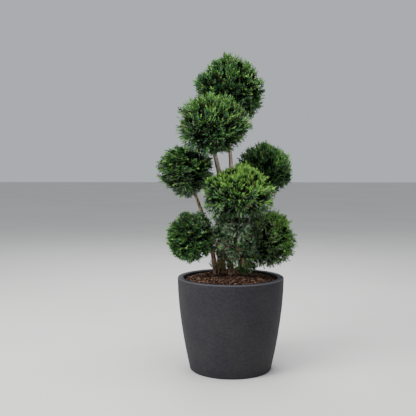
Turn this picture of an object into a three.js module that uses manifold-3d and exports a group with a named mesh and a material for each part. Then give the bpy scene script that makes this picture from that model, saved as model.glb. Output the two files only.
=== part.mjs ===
// A cloud-pruned conifer: one root, three bare stems, seven clipped clouds of foliage and some loose
// inner growth, kept in a round planter that tapers to its foot.
// Millimetres, +Z up. The origin is the centre of the planter's flat underside; the front faces -Y.

import * as THREE from "three";
import { mergeVertices } from "three/addons/utils/BufferGeometryUtils.js";
import Module from "manifold-3d";

const wasm = await Module();
wasm.setup();

const CLEARANCE = 0.3; // gap that touching pieces keep

// Planter: a cast shell with a thick lip
const POT_HEIGHT = 411;
const RIM_RADIUS = 235;
const FOOT_RADIUS = 180;
const SIDE_POWER = 1.75; // the side bellies in at the foot and stands nearly upright at the rim
const SIDE_STEPS = 6;
const LIP_WIDTH = 25;
const LIP_DEPTH = 36;
const LIP_UNDERCUT = 16; // height of the slope below the lip
const WALL = 14;
const FLOOR = 16;
const FOOT_ROUND = 7;
const RIM_ROUND = 6;
const POT_SIDES = 38;

// Soil: mounded a little round the stems
const SOIL_EDGE = 393;
const SOIL_TOP = 411;
const SOIL_FLAT_RADIUS = 125;

// Limbs: how far they swell where they leave the ground or another limb
const ROOT_FLARE = 0.45;
const ROOT_FLARE_HEIGHT = 26;
const COLLAR = 0.3;
const COLLAR_LENGTH = 14;
const COLLAR_START = 0.35; // off the bearing limb's axis, in shares of its radius
const BURIED = 20; // length of stem that is trimmed off at ground level
const STEM_FACETS = { sides: 10, steps: 11 };
const BOUGH_FACETS = { sides: 8, steps: 5 };
const INNER_STEM_FACETS = { sides: 8, steps: 3 };
const LOOSE_STEM_FACETS = { sides: 4, steps: 3 };
const LEADER_FACETS = { sides: 4, steps: 1 };
const TWIG_FACETS = { sides: 3, steps: 1 };

// Clipped clouds: sprays stand out of a smaller tufted core, and their tips reach the clipped surface
const CORE_SHARE = 0.8; // of the reach
const CORE_DETAIL = 2; // times that a twenty-sided ball's edges are split
const TUFT_SHARE = 0.95;
const TUFT_UNEVENNESS = 0.07;
const TUFT_LEAN = 0.07; // a tuft's point stays over its own face
const TUFT_RISE = 0.035;
const ROOT_SHARE = 0.6; // where a spray's root is sunk, as a share of the reach
const TIP_UNEVENNESS = 0.04;
const SHEAR_UNEVENNESS = 0.025;
const SHEAR_WAVES = { x: 3.1, y: 4.3, z: 2.7 }; // slow waves that the shears leave in a cloud's outline
const LIGHT_PULL = 0.16; // shoots turn up towards the light
const SHOOT_LEAN = 0.3; // and lean over to one side
const SPRAY_WIDTH = 0.8; // of its length
const SPRAY_THICKNESS = 0.16; // of its length, at its middle

// Stems inside the masses
const HEART_DROP = 0.15; // they end this share of the mass's height below its centre
const STEM_TAPER = 0.6;
const STEM_RUN_ON = 0.4; // share of the way to the heart on which a stem keeps its limb's heading
const LOOSE_STEM_SHARE = 0.4; // a loose mass's stem, against the limb that bears it
const LOOSE_STEM_SAG = 0.1;

// Loose growth: twigs leave an upright leader, and each carries sprays
const LEADER_RISE = 0.45; // the leader's top above the centre, in shares of the mass's height
const LEADER_RADII = [3, 2];
const TWIG_RADII = [2.4, 1.3];
const TWIG_SHARE = 0.68; // of the way out to the tip of its end spray
const TWIG_SPRAYS = [
  { root: 0.5, swing: 0, length: 0.45 },
  { root: 0.4, swing: 0.75, length: 0.48 },
  { root: 0.25, swing: -0.8, length: 0.48 },
];

// Room that growth leaves
const CORE_ROOM = 0.93; // sprays keep out of this share of a neighbour's reach
const SHARED_GAP = 0.03; // where reaches cross, each mass keeps to the part nearer itself
const LIMB_ROOM = 3;
const LIMB_SAMPLES = 24;

// A spray's outline is a three-toothed fan: [along, across], in shares of its length and width
const FAN = [
  [0, 0.1],
  [0.76, 0.5],
  [0.68, 0.18],
  [1, 0],
  [0.68, -0.18],
  [0.76, -0.5],
  [0, -0.1],
];
const FAN_MIDDLE = 0.6;

const GOLDEN_ANGLE = Math.PI * (3 - Math.sqrt(5));
const UP = new THREE.Vector3(0, 0, 1);

const BARK = { color: 0x6b5140, roughness: 0.9, metalness: 0 };
const FOLIAGE = { color: 0x2f5527, roughness: 0.75, metalness: 0 };
const INNER_FOLIAGE = { color: 0x3f5a41, roughness: 0.8, metalness: 0 };
const PLANTER = { color: 0x3b3c40, roughness: 0.85, metalness: 0 };
const SOIL = { color: 0x3a261c, roughness: 1, metalness: 0 };

// Clipped clouds of foliage. Each keeps to its own rounded space: its centre and its reach each way.
const CLOUDS = [
  { name: "cloud_top", centre: [-9, 130, 1250], radii: [161, 152, 159], shoots: 24, seed: 1 },
  { name: "cloud_upper", centre: [-72, -100, 1080], radii: [162, 142, 132], shoots: 23, seed: 2 },
  { name: "cloud_left", centre: [-205, 20, 884], radii: [132, 122, 116], shoots: 18, seed: 3 },
  { name: "cloud_right", centre: [168, 100, 890], radii: [122, 116, 119], shoots: 18, seed: 4 },
  { name: "cloud_front", centre: [36, -112, 797], radii: [164, 126, 120], shoots: 22, seed: 5 },
  { name: "cloud_low_left", centre: [-175, -50, 591], radii: [113, 112, 120], shoots: 18, seed: 6 },
  { name: "cloud_low_right", centre: [165, 42, 578], radii: [131, 126, 131], shoots: 21, seed: 7 },
];

// Loose growth has no core: its twigs show between the sprays. It springs from a limb's side.
const LOOSE_GROWTH = [
  { name: "inner_growth", centre: [4, -66, 575], radii: [104, 84, 128], shoots: 14, seed: 8 },
  { name: "low_tuft", centre: [76, -8, 462], radii: [44, 42, 36], shoots: 4, seed: 9 },
];
const LOOSE_ORIGINS = {
  inner_growth: { bearer: "stem_right", at: 0.2 },
  low_tuft: { bearer: "bough_low_right", at: 0.6 },
};
const MASSES = [...CLOUDS, ...LOOSE_GROWTH];

// Stems, each from the ground to the cloud that it carries. Foot and tip are radii of the wood.
const STEMS = [
  {
    name: "stem_left",
    path: [
      [-66, 50, SOIL_TOP],
      [-80, 53, 500],
      [-101, 56, 590],
      [-130, 44, 692],
      [-160, 32, 776],
    ],
    foot: 13,
    tip: 7,
    into: "cloud_left",
  },
  {
    name: "stem_right",
    path: [
      [3, 50, SOIL_TOP],
      [-4, 55, 495],
      [-3, 60, 610],
      [6, 64, 740],
      [2, 80, 883],
      [-6, 102, 1010],
      [-8, 116, 1088],
    ],
    foot: 17,
    tip: 7,
    into: "cloud_top",
  },
  {
    name: "stem_back",
    path: [
      [-42, 104, SOIL_TOP],
      [-44, 98, 480],
      [-34, 84, 600],
      [-32, 72, 730],
      [-51, 58, 861],
      [-74, -20, 968],
    ],
    foot: 21,
    tip: 8.5,
    into: "cloud_upper",
  },
];

// Boughs, each from part of the way up a stem to the cloud that it carries
const BOUGHS = [
  {
    name: "bough_low_left",
    bearer: "stem_left",
    at: 0.36,
    path: [
      [-103, 36, 546],
      [-124, 8, 548],
    ],
    foot: 7,
    tip: 6,
    into: "cloud_low_left",
  },
  {
    name: "bough_low_right",
    bearer: "stem_right",
    at: 0.035,
    path: [
      [34, 48, 443],
      [62, 46, 463],
      [88, 44, 490],
    ],
    foot: 7,
    tip: 5.5,
    into: "cloud_low_right",
  },
  {
    name: "bough_right",
    bearer: "stem_right",
    at: 0.46,
    path: [
      [34, 70, 768],
      [80, 82, 808],
    ],
    foot: 8,
    tip: 6,
    into: "cloud_right",
  },
  {
    name: "bough_front",
    bearer: "stem_right",
    at: 0.4,
    path: [
      [6, 34, 712],
      [12, 4, 736],
    ],
    foot: 8,
    tip: 6.5,
    into: "cloud_front",
  },
];

const vector = (p) => new THREE.Vector3(...p);

// A repeatable number from 0 to 1 for item i of a mass. Each turn of it is a different number.
function chance(seed, i, turn) {
  const x = Math.sin(seed * 127.1 + i * 311.7 + turn * 74.7) * 43758.5453;
  return x - Math.floor(x);
}

// Solids from closed geometry, and back

function solidOf(geometry) {
  const bare = new THREE.BufferGeometry().setAttribute("position", geometry.getAttribute("position"));
  if (geometry.index) bare.setIndex(geometry.index);
  const merged = mergeVertices(bare, 1e-3);
  return new wasm.Manifold(
    new wasm.Mesh({
      numProp: 3,
      vertProperties: merged.attributes.position.array,
      triVerts: new Uint32Array(merged.index.array),
    }),
  );
}

function facetedSolid(positions, triangles) {
  const geometry = new THREE.BufferGeometry()
    .setAttribute("position", new THREE.Float32BufferAttribute(positions, 3))
    .setIndex(triangles);
  return solidOf(geometry);
}

function geometryOf(solid) {
  const { vertProperties, triVerts } = solid.getMesh();
  const geometry = new THREE.BufferGeometry()
    .setAttribute("position", new THREE.BufferAttribute(vertProperties, 3))
    .setIndex(new THREE.BufferAttribute(triVerts, 1));
  geometry.computeVertexNormals();
  return geometry;
}

function meshOf(name, geometry, finish) {
  const mesh = new THREE.Mesh(geometry, new THREE.MeshStandardMaterial(finish));
  mesh.name = name;
  return mesh;
}

// Planter and soil

const outerRadius = (z) => RIM_RADIUS - (RIM_RADIUS - FOOT_RADIUS) * (1 - z / POT_HEIGHT) ** SIDE_POWER;

const LIP_FOOT = POT_HEIGHT - LIP_DEPTH;
const WALL_TOP = LIP_FOOT - LIP_UNDERCUT;
const MOUTH_RADIUS = RIM_RADIUS - LIP_WIDTH;
const INNER_STATIONS = [FLOOR, WALL_TOP / 3, (2 * WALL_TOP) / 3, WALL_TOP, LIP_FOOT];

const innerRadius = (z) => (z > WALL_TOP ? MOUTH_RADIUS : outerRadius(z) - WALL);

function lathed(profile) {
  const turned = new THREE.LatheGeometry(
    profile.map(([r, z]) => new THREE.Vector2(r, z)),
    POT_SIDES,
  );
  return turned.rotateX(Math.PI / 2);
}

// A quarter round about a centre. It starts at a heading counted in quarter turns from outward.
function quarterRound(r, z, radius, from) {
  return [0, 0.5, 1].map((share) => {
    const angle = ((from + share) * Math.PI) / 2;
    return [r + radius * Math.cos(angle), z + radius * Math.sin(angle)];
  });
}

function planter() {
  const side = [];
  for (let i = 1; i < SIDE_STEPS; i++) {
    const z = THREE.MathUtils.lerp(FOOT_ROUND, POT_HEIGHT - RIM_ROUND, i / SIDE_STEPS);
    side.push([outerRadius(z), z]);
  }
  return lathed([
    [0, 0],
    ...quarterRound(outerRadius(FOOT_ROUND) - FOOT_ROUND, FOOT_ROUND, FOOT_ROUND, -1),
    ...side,
    ...quarterRound(RIM_RADIUS - RIM_ROUND, POT_HEIGHT - RIM_ROUND, RIM_ROUND, 0),
    ...quarterRound(MOUTH_RADIUS + RIM_ROUND, POT_HEIGHT - RIM_ROUND, RIM_ROUND, 1),
    ...INNER_STATIONS.map((z) => [innerRadius(z), z]).reverse(),
    [0, FLOOR],
  ]);
}

function soil() {
  const [floor, ...stations] = INNER_STATIONS;
  return lathed([
    [0, floor + CLEARANCE],
    [innerRadius(floor) - CLEARANCE, floor + CLEARANCE],
    ...stations.map((z) => [innerRadius(z) - CLEARANCE, z]),
    [MOUTH_RADIUS - CLEARANCE, SOIL_EDGE],
    [SOIL_FLAT_RADIUS, SOIL_TOP],
    [0, SOIL_TOP],
  ]);
}

// The space of a mass

// How far a mass reaches in a direction: a rounded form, a little uneven from the shears
function reach({ radii: [rx, ry, rz], seed }, d) {
  const waves = SHEAR_WAVES;
  const across = Math.sin(waves.x * d.x + 2 * seed) * Math.sin(waves.z * d.z - seed);
  const along = Math.sin(waves.y * d.y + 3 * seed);
  return (1 + SHEAR_UNEVENNESS * (across + along)) / Math.hypot(d.x / rx, d.y / ry, d.z / rz);
}

// How far out a point lies in a mass: 1 on its clipped surface
function depthIn(mass, point) {
  const offset = point.clone().sub(vector(mass.centre));
  return offset.length() / reach(mass, offset.clone().normalize());
}

const heartOf = (mass) => vector(mass.centre).addScaledVector(UP, -HEART_DROP * mass.radii[2]);

// Limbs: one tapering round of wood along a smooth curve, with flat ends

function limb({ curve, radii: [foot, tip], facets, swell = 0, swellLength = 1, swellFrom = 0 }) {
  const length = curve.getLength();
  const radiusAt = (t) => {
    const past = Math.max(t * length - swellFrom, 0);
    return THREE.MathUtils.lerp(foot, tip, t) * (1 + swell * Math.exp(-past / swellLength));
  };
  return { curve, radiusAt, facets };
}

function limbSolid({ curve, radiusAt, facets: { sides, steps } }, grow = 0) {
  const frames = curve.computeFrenetFrames(steps, false);
  const positions = [];
  const triangles = [];
  for (let i = 0; i <= steps; i++) {
    const centre = curve.getPointAt(i / steps);
    const radius = radiusAt(i / steps) + grow;
    for (let j = 0; j < sides; j++) {
      const angle = (2 * Math.PI * j) / sides;
      const corner = centre
        .clone()
        .addScaledVector(frames.normals[i], radius * Math.cos(angle))
        .addScaledVector(frames.binormals[i], radius * Math.sin(angle));
      positions.push(...corner);
    }
  }
  for (let i = 0; i < steps; i++) {
    for (let j = 0; j < sides; j++) {
      const a = i * sides + j;
      const b = i * sides + ((j + 1) % sides);
      triangles.push(a, b, b + sides, a, b + sides, a + sides);
    }
  }
  const last = steps * sides;
  for (let j = 1; j < sides - 1; j++) {
    triangles.push(0, j + 1, j, last, last + j, last + j + 1);
  }
  return facetedSolid(positions, triangles);
}

// A limb ends where it enters its cloud, so its last point is moved on to the clipped surface
function pathInto(name, path) {
  const mass = CLOUDS.find((each) => each.name === name);
  const points = path.map(vector);
  const centre = vector(mass.centre);
  const d = points.pop().sub(centre).normalize();
  return [...points, centre.addScaledVector(d, reach(mass, d))];
}

// A stem rises from a flat cut at ground level. Its path starts a little below, and is trimmed there.
function stem({ path, foot, tip, into }) {
  const points = pathInto(into, path);
  const down = points[0].clone().sub(points[1]).normalize();
  points.unshift(points[0].clone().addScaledVector(down, BURIED));
  return limb({
    curve: new THREE.CatmullRomCurve3(points),
    radii: [foot, tip],
    facets: STEM_FACETS,
    swell: ROOT_FLARE,
    swellLength: ROOT_FLARE_HEIGHT,
    swellFrom: BURIED,
  });
}

// A bough leaves a stem's side. It starts inside the stem and is cut back to just clear of it.
function bough({ at, path, foot, tip, into }, bearer) {
  const axis = bearer.curve.getPointAt(at);
  const outward = vector(path[0]).sub(axis).setZ(0).normalize();
  const start = axis.addScaledVector(outward, COLLAR_START * bearer.radiusAt(at));
  return limb({
    curve: new THREE.CatmullRomCurve3([start, ...pathInto(into, path)]),
    radii: [foot, tip],
    facets: BOUGH_FACETS,
    swell: COLLAR,
    swellLength: COLLAR_LENGTH,
    swellFrom: bearer.radiusAt(at),
  });
}

const LIMBS = {};
for (const each of STEMS) LIMBS[each.name] = stem(each);
for (const each of BOUGHS) LIMBS[each.name] = bough(each, LIMBS[each.bearer]);

function groundBlock() {
  const side = 2 * RIM_RADIUS;
  const depth = 4 * BURIED;
  const block = new THREE.BoxGeometry(side, side, depth);
  return solidOf(block.translate(0, 0, SOIL_TOP + CLEARANCE - depth / 2));
}

// Room for growth

function nearestOnLimb({ curve, radiusAt }, point) {
  let best = Infinity;
  for (let i = 0; i <= LIMB_SAMPLES; i++) {
    const t = i / LIMB_SAMPLES;
    best = Math.min(best, curve.getPointAt(t).distanceTo(point) - radiusAt(t));
  }
  return best;
}

function inOwnSpace(mass, point) {
  const own = depthIn(mass, point) + SHARED_GAP;
  const clearOfMasses = MASSES.every((other) => {
    return other === mass || depthIn(other, point) > Math.max(own, CORE_ROOM);
  });
  return clearOfMasses && Object.values(LIMBS).every((each) => nearestOnLimb(each, point) > LIMB_ROOM);
}

// Sprays

// A spray's corners, from its root to its tip. Its flat lies across the given direction.
function sprayCorners(root, tip, across) {
  const along = tip.clone().sub(root);
  const length = along.length();
  const side = across.clone().addScaledVector(along, -across.dot(along) / length ** 2).normalize();
  const corners = FAN.map(([u, v]) =>
    root.clone().addScaledVector(along, u).addScaledVector(side, v * SPRAY_WIDTH * length),
  );
  const rise = along.clone().cross(side).normalize().multiplyScalar((SPRAY_THICKNESS * length) / 2);
  const middle = root.clone().addScaledVector(along, FAN_MIDDLE);
  return { corners, top: middle.clone().add(rise), under: middle.clone().sub(rise) };
}

function spraySolid({ corners, top, under }) {
  const count = corners.length;
  const triangles = [];
  for (let i = 0; i < count; i++) {
    const next = (i + 1) % count;
    triangles.push(i, count, next, i, next, count + 1);
  }
  return facetedSolid([...corners, top, under].flatMap((p) => [...p]), triangles);
}

// Joins a spray to a mass, unless it would leave the mass's own space or touch a limb
function withSpray(whole, mass, root, tip, across) {
  const spray = sprayCorners(root, tip, across);
  const fits = spray.corners.every((p) => inOwnSpace(mass, p));
  return fits ? whole.add(spraySolid(spray)) : whole;
}

// Directions spread evenly over a ball by the golden angle
function shootDirection(mass, i) {
  const z = 1 - (2 * (i + 0.5)) / mass.shoots;
  const turn = GOLDEN_ANGLE * i + mass.seed;
  const flat = Math.sqrt(1 - z * z);
  return new THREE.Vector3(flat * Math.cos(turn), flat * Math.sin(turn), z);
}

// A direction square to the heading, turned about it by chance
function sideDirection(mass, i, heading) {
  const roll = 2 * Math.PI * chance(mass.seed, i, 4);
  const level = new THREE.Vector3().crossVectors(heading, UP);
  if (level.lengthSq() < 1e-3) level.set(1, 0, 0);
  return level.normalize().applyAxisAngle(heading, roll);
}

// One shoot's run from its root to its tip on the clipped surface
function shootRun(mass, i) {
  const centre = vector(mass.centre);
  const heading = shootDirection(mass, i);
  const side = sideDirection(mass, i, heading);
  const root = centre.clone().addScaledVector(heading, ROOT_SHARE * reach(mass, heading));
  const rise = LIGHT_PULL * chance(mass.seed, i, 1);
  const leant = heading.clone().addScaledVector(side, SHOOT_LEAN).addScaledVector(UP, rise).normalize();
  const fullness = 1 - TIP_UNEVENNESS * chance(mass.seed, i, 2);
  const tip = centre.clone().addScaledVector(leant, fullness * reach(mass, leant));
  return { root, tip, heading, side };
}

// Clipped clouds

// The stem inside a cloud runs on from its limb's tip to the cloud's heart
function cloudStem(mass) {
  const bearer = LIMBS[[...STEMS, ...BOUGHS].find((each) => each.into === mass.name).name];
  const heart = heartOf(mass);
  const heading = bearer.curve.getTangentAt(1);
  const start = bearer.curve.getPointAt(1).addScaledVector(heading, CLEARANCE);
  const bend = start.clone().addScaledVector(heading, STEM_RUN_ON * start.distanceTo(heart));
  const foot = bearer.radiusAt(1);
  const curve = new THREE.QuadraticBezierCurve3(start, bend, heart);
  return limbSolid(limb({ curve, radii: [foot, STEM_TAPER * foot], facets: INNER_STEM_FACETS }));
}

// The core is a ball of short pointed tufts, one to each face of a many-sided ball
function coreSolid(mass) {
  const centre = vector(mass.centre);
  const outTo = (d, share) => centre.clone().addScaledVector(d, share * reach(mass, d));
  const faces = new THREE.IcosahedronGeometry(1, CORE_DETAIL).getAttribute("position");
  const positions = [];
  const triangles = [];
  for (let i = 0; i < faces.count; i += 3) {
    const corners = [0, 1, 2].map((k) => new THREE.Vector3().fromBufferAttribute(faces, i + k).normalize());
    const apex = corners[0].clone().add(corners[1]).add(corners[2]).normalize();
    apex.addScaledVector(sideDirection(mass, i, apex), TUFT_LEAN).addScaledVector(UP, TUFT_RISE).normalize();
    const first = positions.length / 3;
    for (const d of corners) positions.push(...outTo(d, CORE_SHARE));
    positions.push(...outTo(apex, TUFT_SHARE - TUFT_UNEVENNESS * chance(mass.seed, i, 3)));
    for (let k = 0; k < 3; k++) triangles.push(first + k, first + ((k + 1) % 3), first + 3);
  }
  return facetedSolid(positions, triangles);
}

function cloudSolid(mass) {
  let whole = coreSolid(mass).add(cloudStem(mass));
  for (let i = 0; i < mass.shoots; i++) {
    const { root, tip, heading, side } = shootRun(mass, i);
    whole = withSpray(whole, mass, root, tip, heading.cross(side));
  }
  return whole;
}

// Loose growth

// The stem of loose growth springs from the side of its limb
function looseStem(mass) {
  const { bearer, at } = LOOSE_ORIGINS[mass.name];
  const heart = heartOf(mass);
  const start = LIMBS[bearer].curve.getPointAt(at);
  const bend = start.clone().lerp(heart, 0.5).addScaledVector(UP, -LOOSE_STEM_SAG * mass.radii[2]);
  const foot = LOOSE_STEM_SHARE * LIMBS[bearer].radiusAt(at);
  const curve = new THREE.QuadraticBezierCurve3(start, bend, heart);
  const whole = limbSolid(limb({ curve, radii: [foot, STEM_TAPER * foot], facets: LOOSE_STEM_FACETS }));
  return whole.subtract(limbSolid(LIMBS[bearer], CLEARANCE));
}

function straightTwig(from, to, radii, facets) {
  return limbSolid(limb({ curve: new THREE.LineCurve3(from, to), radii, facets }));
}

// Upward shoots leave the leader near its top and downward ones near the heart
function footOnLeader(heart, leaderTop, heading) {
  return heart.clone().lerp(leaderTop, THREE.MathUtils.clamp(0.3 + heading.z / 2, 0, 0.95));
}

function looseSolid(mass) {
  const heart = heartOf(mass);
  const leaderTop = vector(mass.centre).addScaledVector(UP, LEADER_RISE * mass.radii[2]);
  let whole = looseStem(mass).add(straightTwig(heart, leaderTop, LEADER_RADII, LEADER_FACETS));
  for (let i = 0; i < mass.shoots; i++) {
    const { tip, heading, side } = shootRun(mass, i);
    const foot = footOnLeader(heart, leaderTop, heading);
    const end = foot.clone().lerp(tip, TWIG_SHARE);
    if (![0.4, 0.7, 1].every((t) => inOwnSpace(mass, foot.clone().lerp(end, t)))) continue;
    whole = whole.add(straightTwig(foot, end, TWIG_RADII, TWIG_FACETS));
    const run = tip.clone().sub(foot);
    const hinge = run.clone().cross(side).normalize();
    for (const spray of TWIG_SPRAYS) {
      const root = foot.clone().addScaledVector(run, spray.root);
      const swung = run.clone().applyAxisAngle(hinge, spray.swing);
      whole = withSpray(whole, mass, root, root.clone().addScaledVector(swung, spray.length), side);
    }
  }
  return whole;
}

// The whole plant

function filledPlanter() {
  const group = new THREE.Group();
  group.add(meshOf("planter", planter(), PLANTER), meshOf("soil", soil(), SOIL));
  return group;
}

function framework() {
  const group = new THREE.Group();
  const ground = groundBlock();
  for (const { name, bearer } of [...STEMS, ...BOUGHS]) {
    const cutter = bearer ? limbSolid(LIMBS[bearer], CLEARANCE) : ground;
    group.add(meshOf(name, geometryOf(limbSolid(LIMBS[name]).subtract(cutter)), BARK));
  }
  return group;
}

function crown() {
  const group = new THREE.Group();
  for (const mass of CLOUDS) group.add(meshOf(mass.name, geometryOf(cloudSolid(mass)), FOLIAGE));
  for (const mass of LOOSE_GROWTH) group.add(meshOf(mass.name, geometryOf(looseSolid(mass)), INNER_FOLIAGE));
  return group;
}

const topiary = new THREE.Group();
topiary.add(filledPlanter(), framework(), crown());

export default topiary;
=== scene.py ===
"""The looks of a cloud-pruned conifer in a round planter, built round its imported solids.

Sizes are in millimetres and colours in 0-255 screen values. The front faces -Y, and +Z is up.
"""

import math

import bpy
import numpy as np
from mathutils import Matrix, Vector, noise


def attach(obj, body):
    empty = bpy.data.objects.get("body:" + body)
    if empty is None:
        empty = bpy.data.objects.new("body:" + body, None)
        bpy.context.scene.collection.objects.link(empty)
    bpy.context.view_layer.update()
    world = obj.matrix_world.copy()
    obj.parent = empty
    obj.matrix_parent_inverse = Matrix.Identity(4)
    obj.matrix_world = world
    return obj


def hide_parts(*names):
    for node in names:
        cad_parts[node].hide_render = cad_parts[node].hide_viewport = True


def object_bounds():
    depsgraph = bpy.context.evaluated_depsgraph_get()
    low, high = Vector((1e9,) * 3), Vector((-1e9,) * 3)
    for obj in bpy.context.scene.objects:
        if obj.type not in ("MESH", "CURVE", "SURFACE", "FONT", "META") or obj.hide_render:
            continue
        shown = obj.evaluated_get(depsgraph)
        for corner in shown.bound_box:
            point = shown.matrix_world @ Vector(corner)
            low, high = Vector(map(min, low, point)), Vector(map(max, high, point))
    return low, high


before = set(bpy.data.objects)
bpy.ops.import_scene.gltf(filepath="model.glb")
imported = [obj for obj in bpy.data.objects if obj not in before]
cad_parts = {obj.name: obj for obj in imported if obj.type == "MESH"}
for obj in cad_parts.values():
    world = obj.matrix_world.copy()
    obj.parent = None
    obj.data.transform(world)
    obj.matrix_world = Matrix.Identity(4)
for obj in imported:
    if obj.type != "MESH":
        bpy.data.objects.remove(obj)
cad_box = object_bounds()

MM = 0.001


# Planter
# One cast shell of fibre cement, dyed charcoal all through and left matt. It bellies in to a smaller
# foot and has a thick, flat lip. The cast is grainy and a little cloudy, with fine level lines from
# the mould, and the lip's round edges carry a painted highlight.

POT_HEIGHT = 411
RIM_RADIUS = 235
FOOT_RADIUS = 180
SIDE_POWER = 1.75
LIP_WIDTH = 25
LIP_DEPTH = 36
LIP_UNDERCUT = 16
WALL = 14
FLOOR = 16
FOOT_ROUND = 7
RIM_ROUND = 6
MOUTH_RADIUS = RIM_RADIUS - LIP_WIDTH
LIP_FOOT = POT_HEIGHT - LIP_DEPTH
WALL_TOP = LIP_FOOT - LIP_UNDERCUT
POT_SIDES = 128
SIDE_STEPS = 28
INNER_STEPS = 12
ROUND_STEPS = 6
CLOUDING = 0.5  # how far the cloudy tones cover those of the grain
HIGHLIGHT_WIDTH = 6


def screen(red, green, blue):
    """A linear colour from screen values."""
    share = np.array([red, green, blue]) / 255
    linear = np.where(share <= 0.04045, share / 12.92, ((share + 0.055) / 1.055) ** 2.4)
    return (*[float(each) for each in linear], 1)


def mesh_piece(name, positions, faces, material_of_face=None, smooth=False):
    """A mesh object from corner positions in millimetres and faces of one size."""
    faces = np.asarray(faces, np.int32)
    corners = faces.shape[1]
    mesh = bpy.data.meshes.new(name)
    mesh.vertices.add(len(positions))
    mesh.vertices.foreach_set("co", (np.asarray(positions) * MM).astype(np.float32).ravel())
    mesh.loops.add(faces.size)
    mesh.loops.foreach_set("vertex_index", faces.ravel())
    mesh.polygons.add(len(faces))
    mesh.polygons.foreach_set("loop_start", np.arange(0, faces.size, corners, dtype=np.int32))
    if material_of_face is not None:
        mesh.polygons.foreach_set("material_index", np.asarray(material_of_face, np.int32))
    mesh.update(calc_edges=True)
    mesh.validate()
    mesh.polygons.foreach_set("use_smooth", np.full(len(mesh.polygons), smooth))
    piece = bpy.data.objects.new(name, mesh)
    bpy.context.scene.collection.objects.link(piece)
    return piece


def ring_faces(rings, sides):
    """Faces of a closed round form. Its corners are those of its two ends, and then ring after ring."""
    here = np.arange(sides)
    after = (here + 1) % sides
    faces = []
    for k in range(rings - 1):
        low = 2 + k * sides
        high = low + sides
        faces.append(np.column_stack([low + here, low + after, high + after]))
        faces.append(np.column_stack([low + here, high + after, high + here]))
    last = 2 + (rings - 1) * sides
    faces.append(np.column_stack([np.zeros(sides, int), 2 + after, 2 + here]))
    faces.append(np.column_stack([np.ones(sides, int), last + here, last + after]))
    return np.vstack(faces)


def turned(profile, sides):
    """Corners and faces of a closed solid of revolution. The profile starts and ends on the axis."""
    angles = np.arange(sides) * 2 * math.pi / sides
    positions = [[0, 0, profile[0][1]], [0, 0, profile[-1][1]]]
    for radius, height in profile[1:-1]:
        ring = np.column_stack([radius * np.cos(angles), radius * np.sin(angles), np.full(sides, height)])
        positions.extend(ring.tolist())
    return np.array(positions), ring_faces(len(profile) - 2, sides)


def feed(tree, socket, given):
    """Gives a socket its value, or links it to another node's output."""
    if isinstance(given, bpy.types.NodeSocket):
        tree.links.new(given, socket)
    else:
        socket.default_value = given


def maths(tree, operation, first, second):
    """The output of a Math node."""
    node = tree.nodes.new("ShaderNodeMath")
    node.operation = operation
    feed(tree, node.inputs[0], first)
    feed(tree, node.inputs[1], second)
    return node.outputs[0]


def flat_length(tree, x, y):
    """The output of nodes that measure a flat arrow."""
    arrow = tree.nodes.new("ShaderNodeCombineXYZ")
    feed(tree, arrow.inputs["X"], x)
    feed(tree, arrow.inputs["Y"], y)
    span = tree.nodes.new("ShaderNodeVectorMath")
    span.operation = "LENGTH"
    feed(tree, span.inputs[0], arrow.outputs[0])
    return span.outputs["Value"]


def share_between(tree, value, low, high, result=(0, 1), interpolation="LINEAR"):
    """The output of a Map Range node: how far a value has come from low to high."""
    node = tree.nodes.new("ShaderNodeMapRange")
    node.interpolation_type = interpolation
    labels = ("Value", "From Min", "From Max", "To Min", "To Max")
    for label, given in zip(labels, (value, low, high, *result)):
        feed(tree, node.inputs[label], given)
    return node.outputs["Result"]


def colour_mix(tree, factor, first, second):
    """The output of a Mix node that goes from the first colour to the second."""
    node = tree.nodes.new("ShaderNodeMix")
    node.data_type = "RGBA"
    for label, given in (("Factor", factor), ("A", first), ("B", second)):
        feed(tree, node.inputs[label], given)
    return node.outputs["Result"]


def node_group(name, inputs, outputs):
    """An empty shader node group with named sockets, and its input and output nodes."""
    group = bpy.data.node_groups.new(name, "ShaderNodeTree")
    for label, kind, value in inputs:
        socket = group.interface.new_socket(name=label, in_out="INPUT", socket_type=kind)
        socket.default_value = value
    for label, kind in outputs:
        group.interface.new_socket(name=label, in_out="OUTPUT", socket_type=kind)
    return group, group.nodes.new("NodeGroupInput"), group.nodes.new("NodeGroupOutput")


def grain_group():
    """Two tones that wander into each other, and the same wander as a height."""
    group, given, result = node_group(
        "Grain",
        [
            ("Light", "NodeSocketColor", (1, 1, 1, 1)),
            ("Dark", "NodeSocketColor", (0, 0, 0, 1)),
            ("Fineness", "NodeSocketFloat", 50.0),
            ("Stretch", "NodeSocketVector", (1, 1, 1)),
            ("Spread", "NodeSocketFloat", 0.2),
        ],
        [("Color", "NodeSocketColor"), ("Height", "NodeSocketFloat")],
    )
    place = group.nodes.new("ShaderNodeTexCoord")
    stretch = group.nodes.new("ShaderNodeVectorMath")
    stretch.operation = "MULTIPLY"
    feed(group, stretch.inputs[0], place.outputs["Object"])
    feed(group, stretch.inputs[1], given.outputs["Stretch"])
    wander = group.nodes.new("ShaderNodeTexNoise")
    feed(group, wander.inputs["Vector"], stretch.outputs[0])
    feed(group, wander.inputs["Scale"], given.outputs["Fineness"])
    feed(group, wander.inputs["Detail"], 4)
    feed(group, wander.inputs["Roughness"], 0.6)
    lowest = maths(group, "SUBTRACT", 0.5, given.outputs["Spread"])
    highest = maths(group, "ADD", 0.5, given.outputs["Spread"])
    share = share_between(group, wander.outputs["Fac"], lowest, highest)
    tone = colour_mix(group, share, given.outputs["Dark"], given.outputs["Light"])
    feed(group, result.inputs["Color"], tone)
    feed(group, result.inputs["Height"], wander.outputs["Fac"])
    return group


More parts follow.
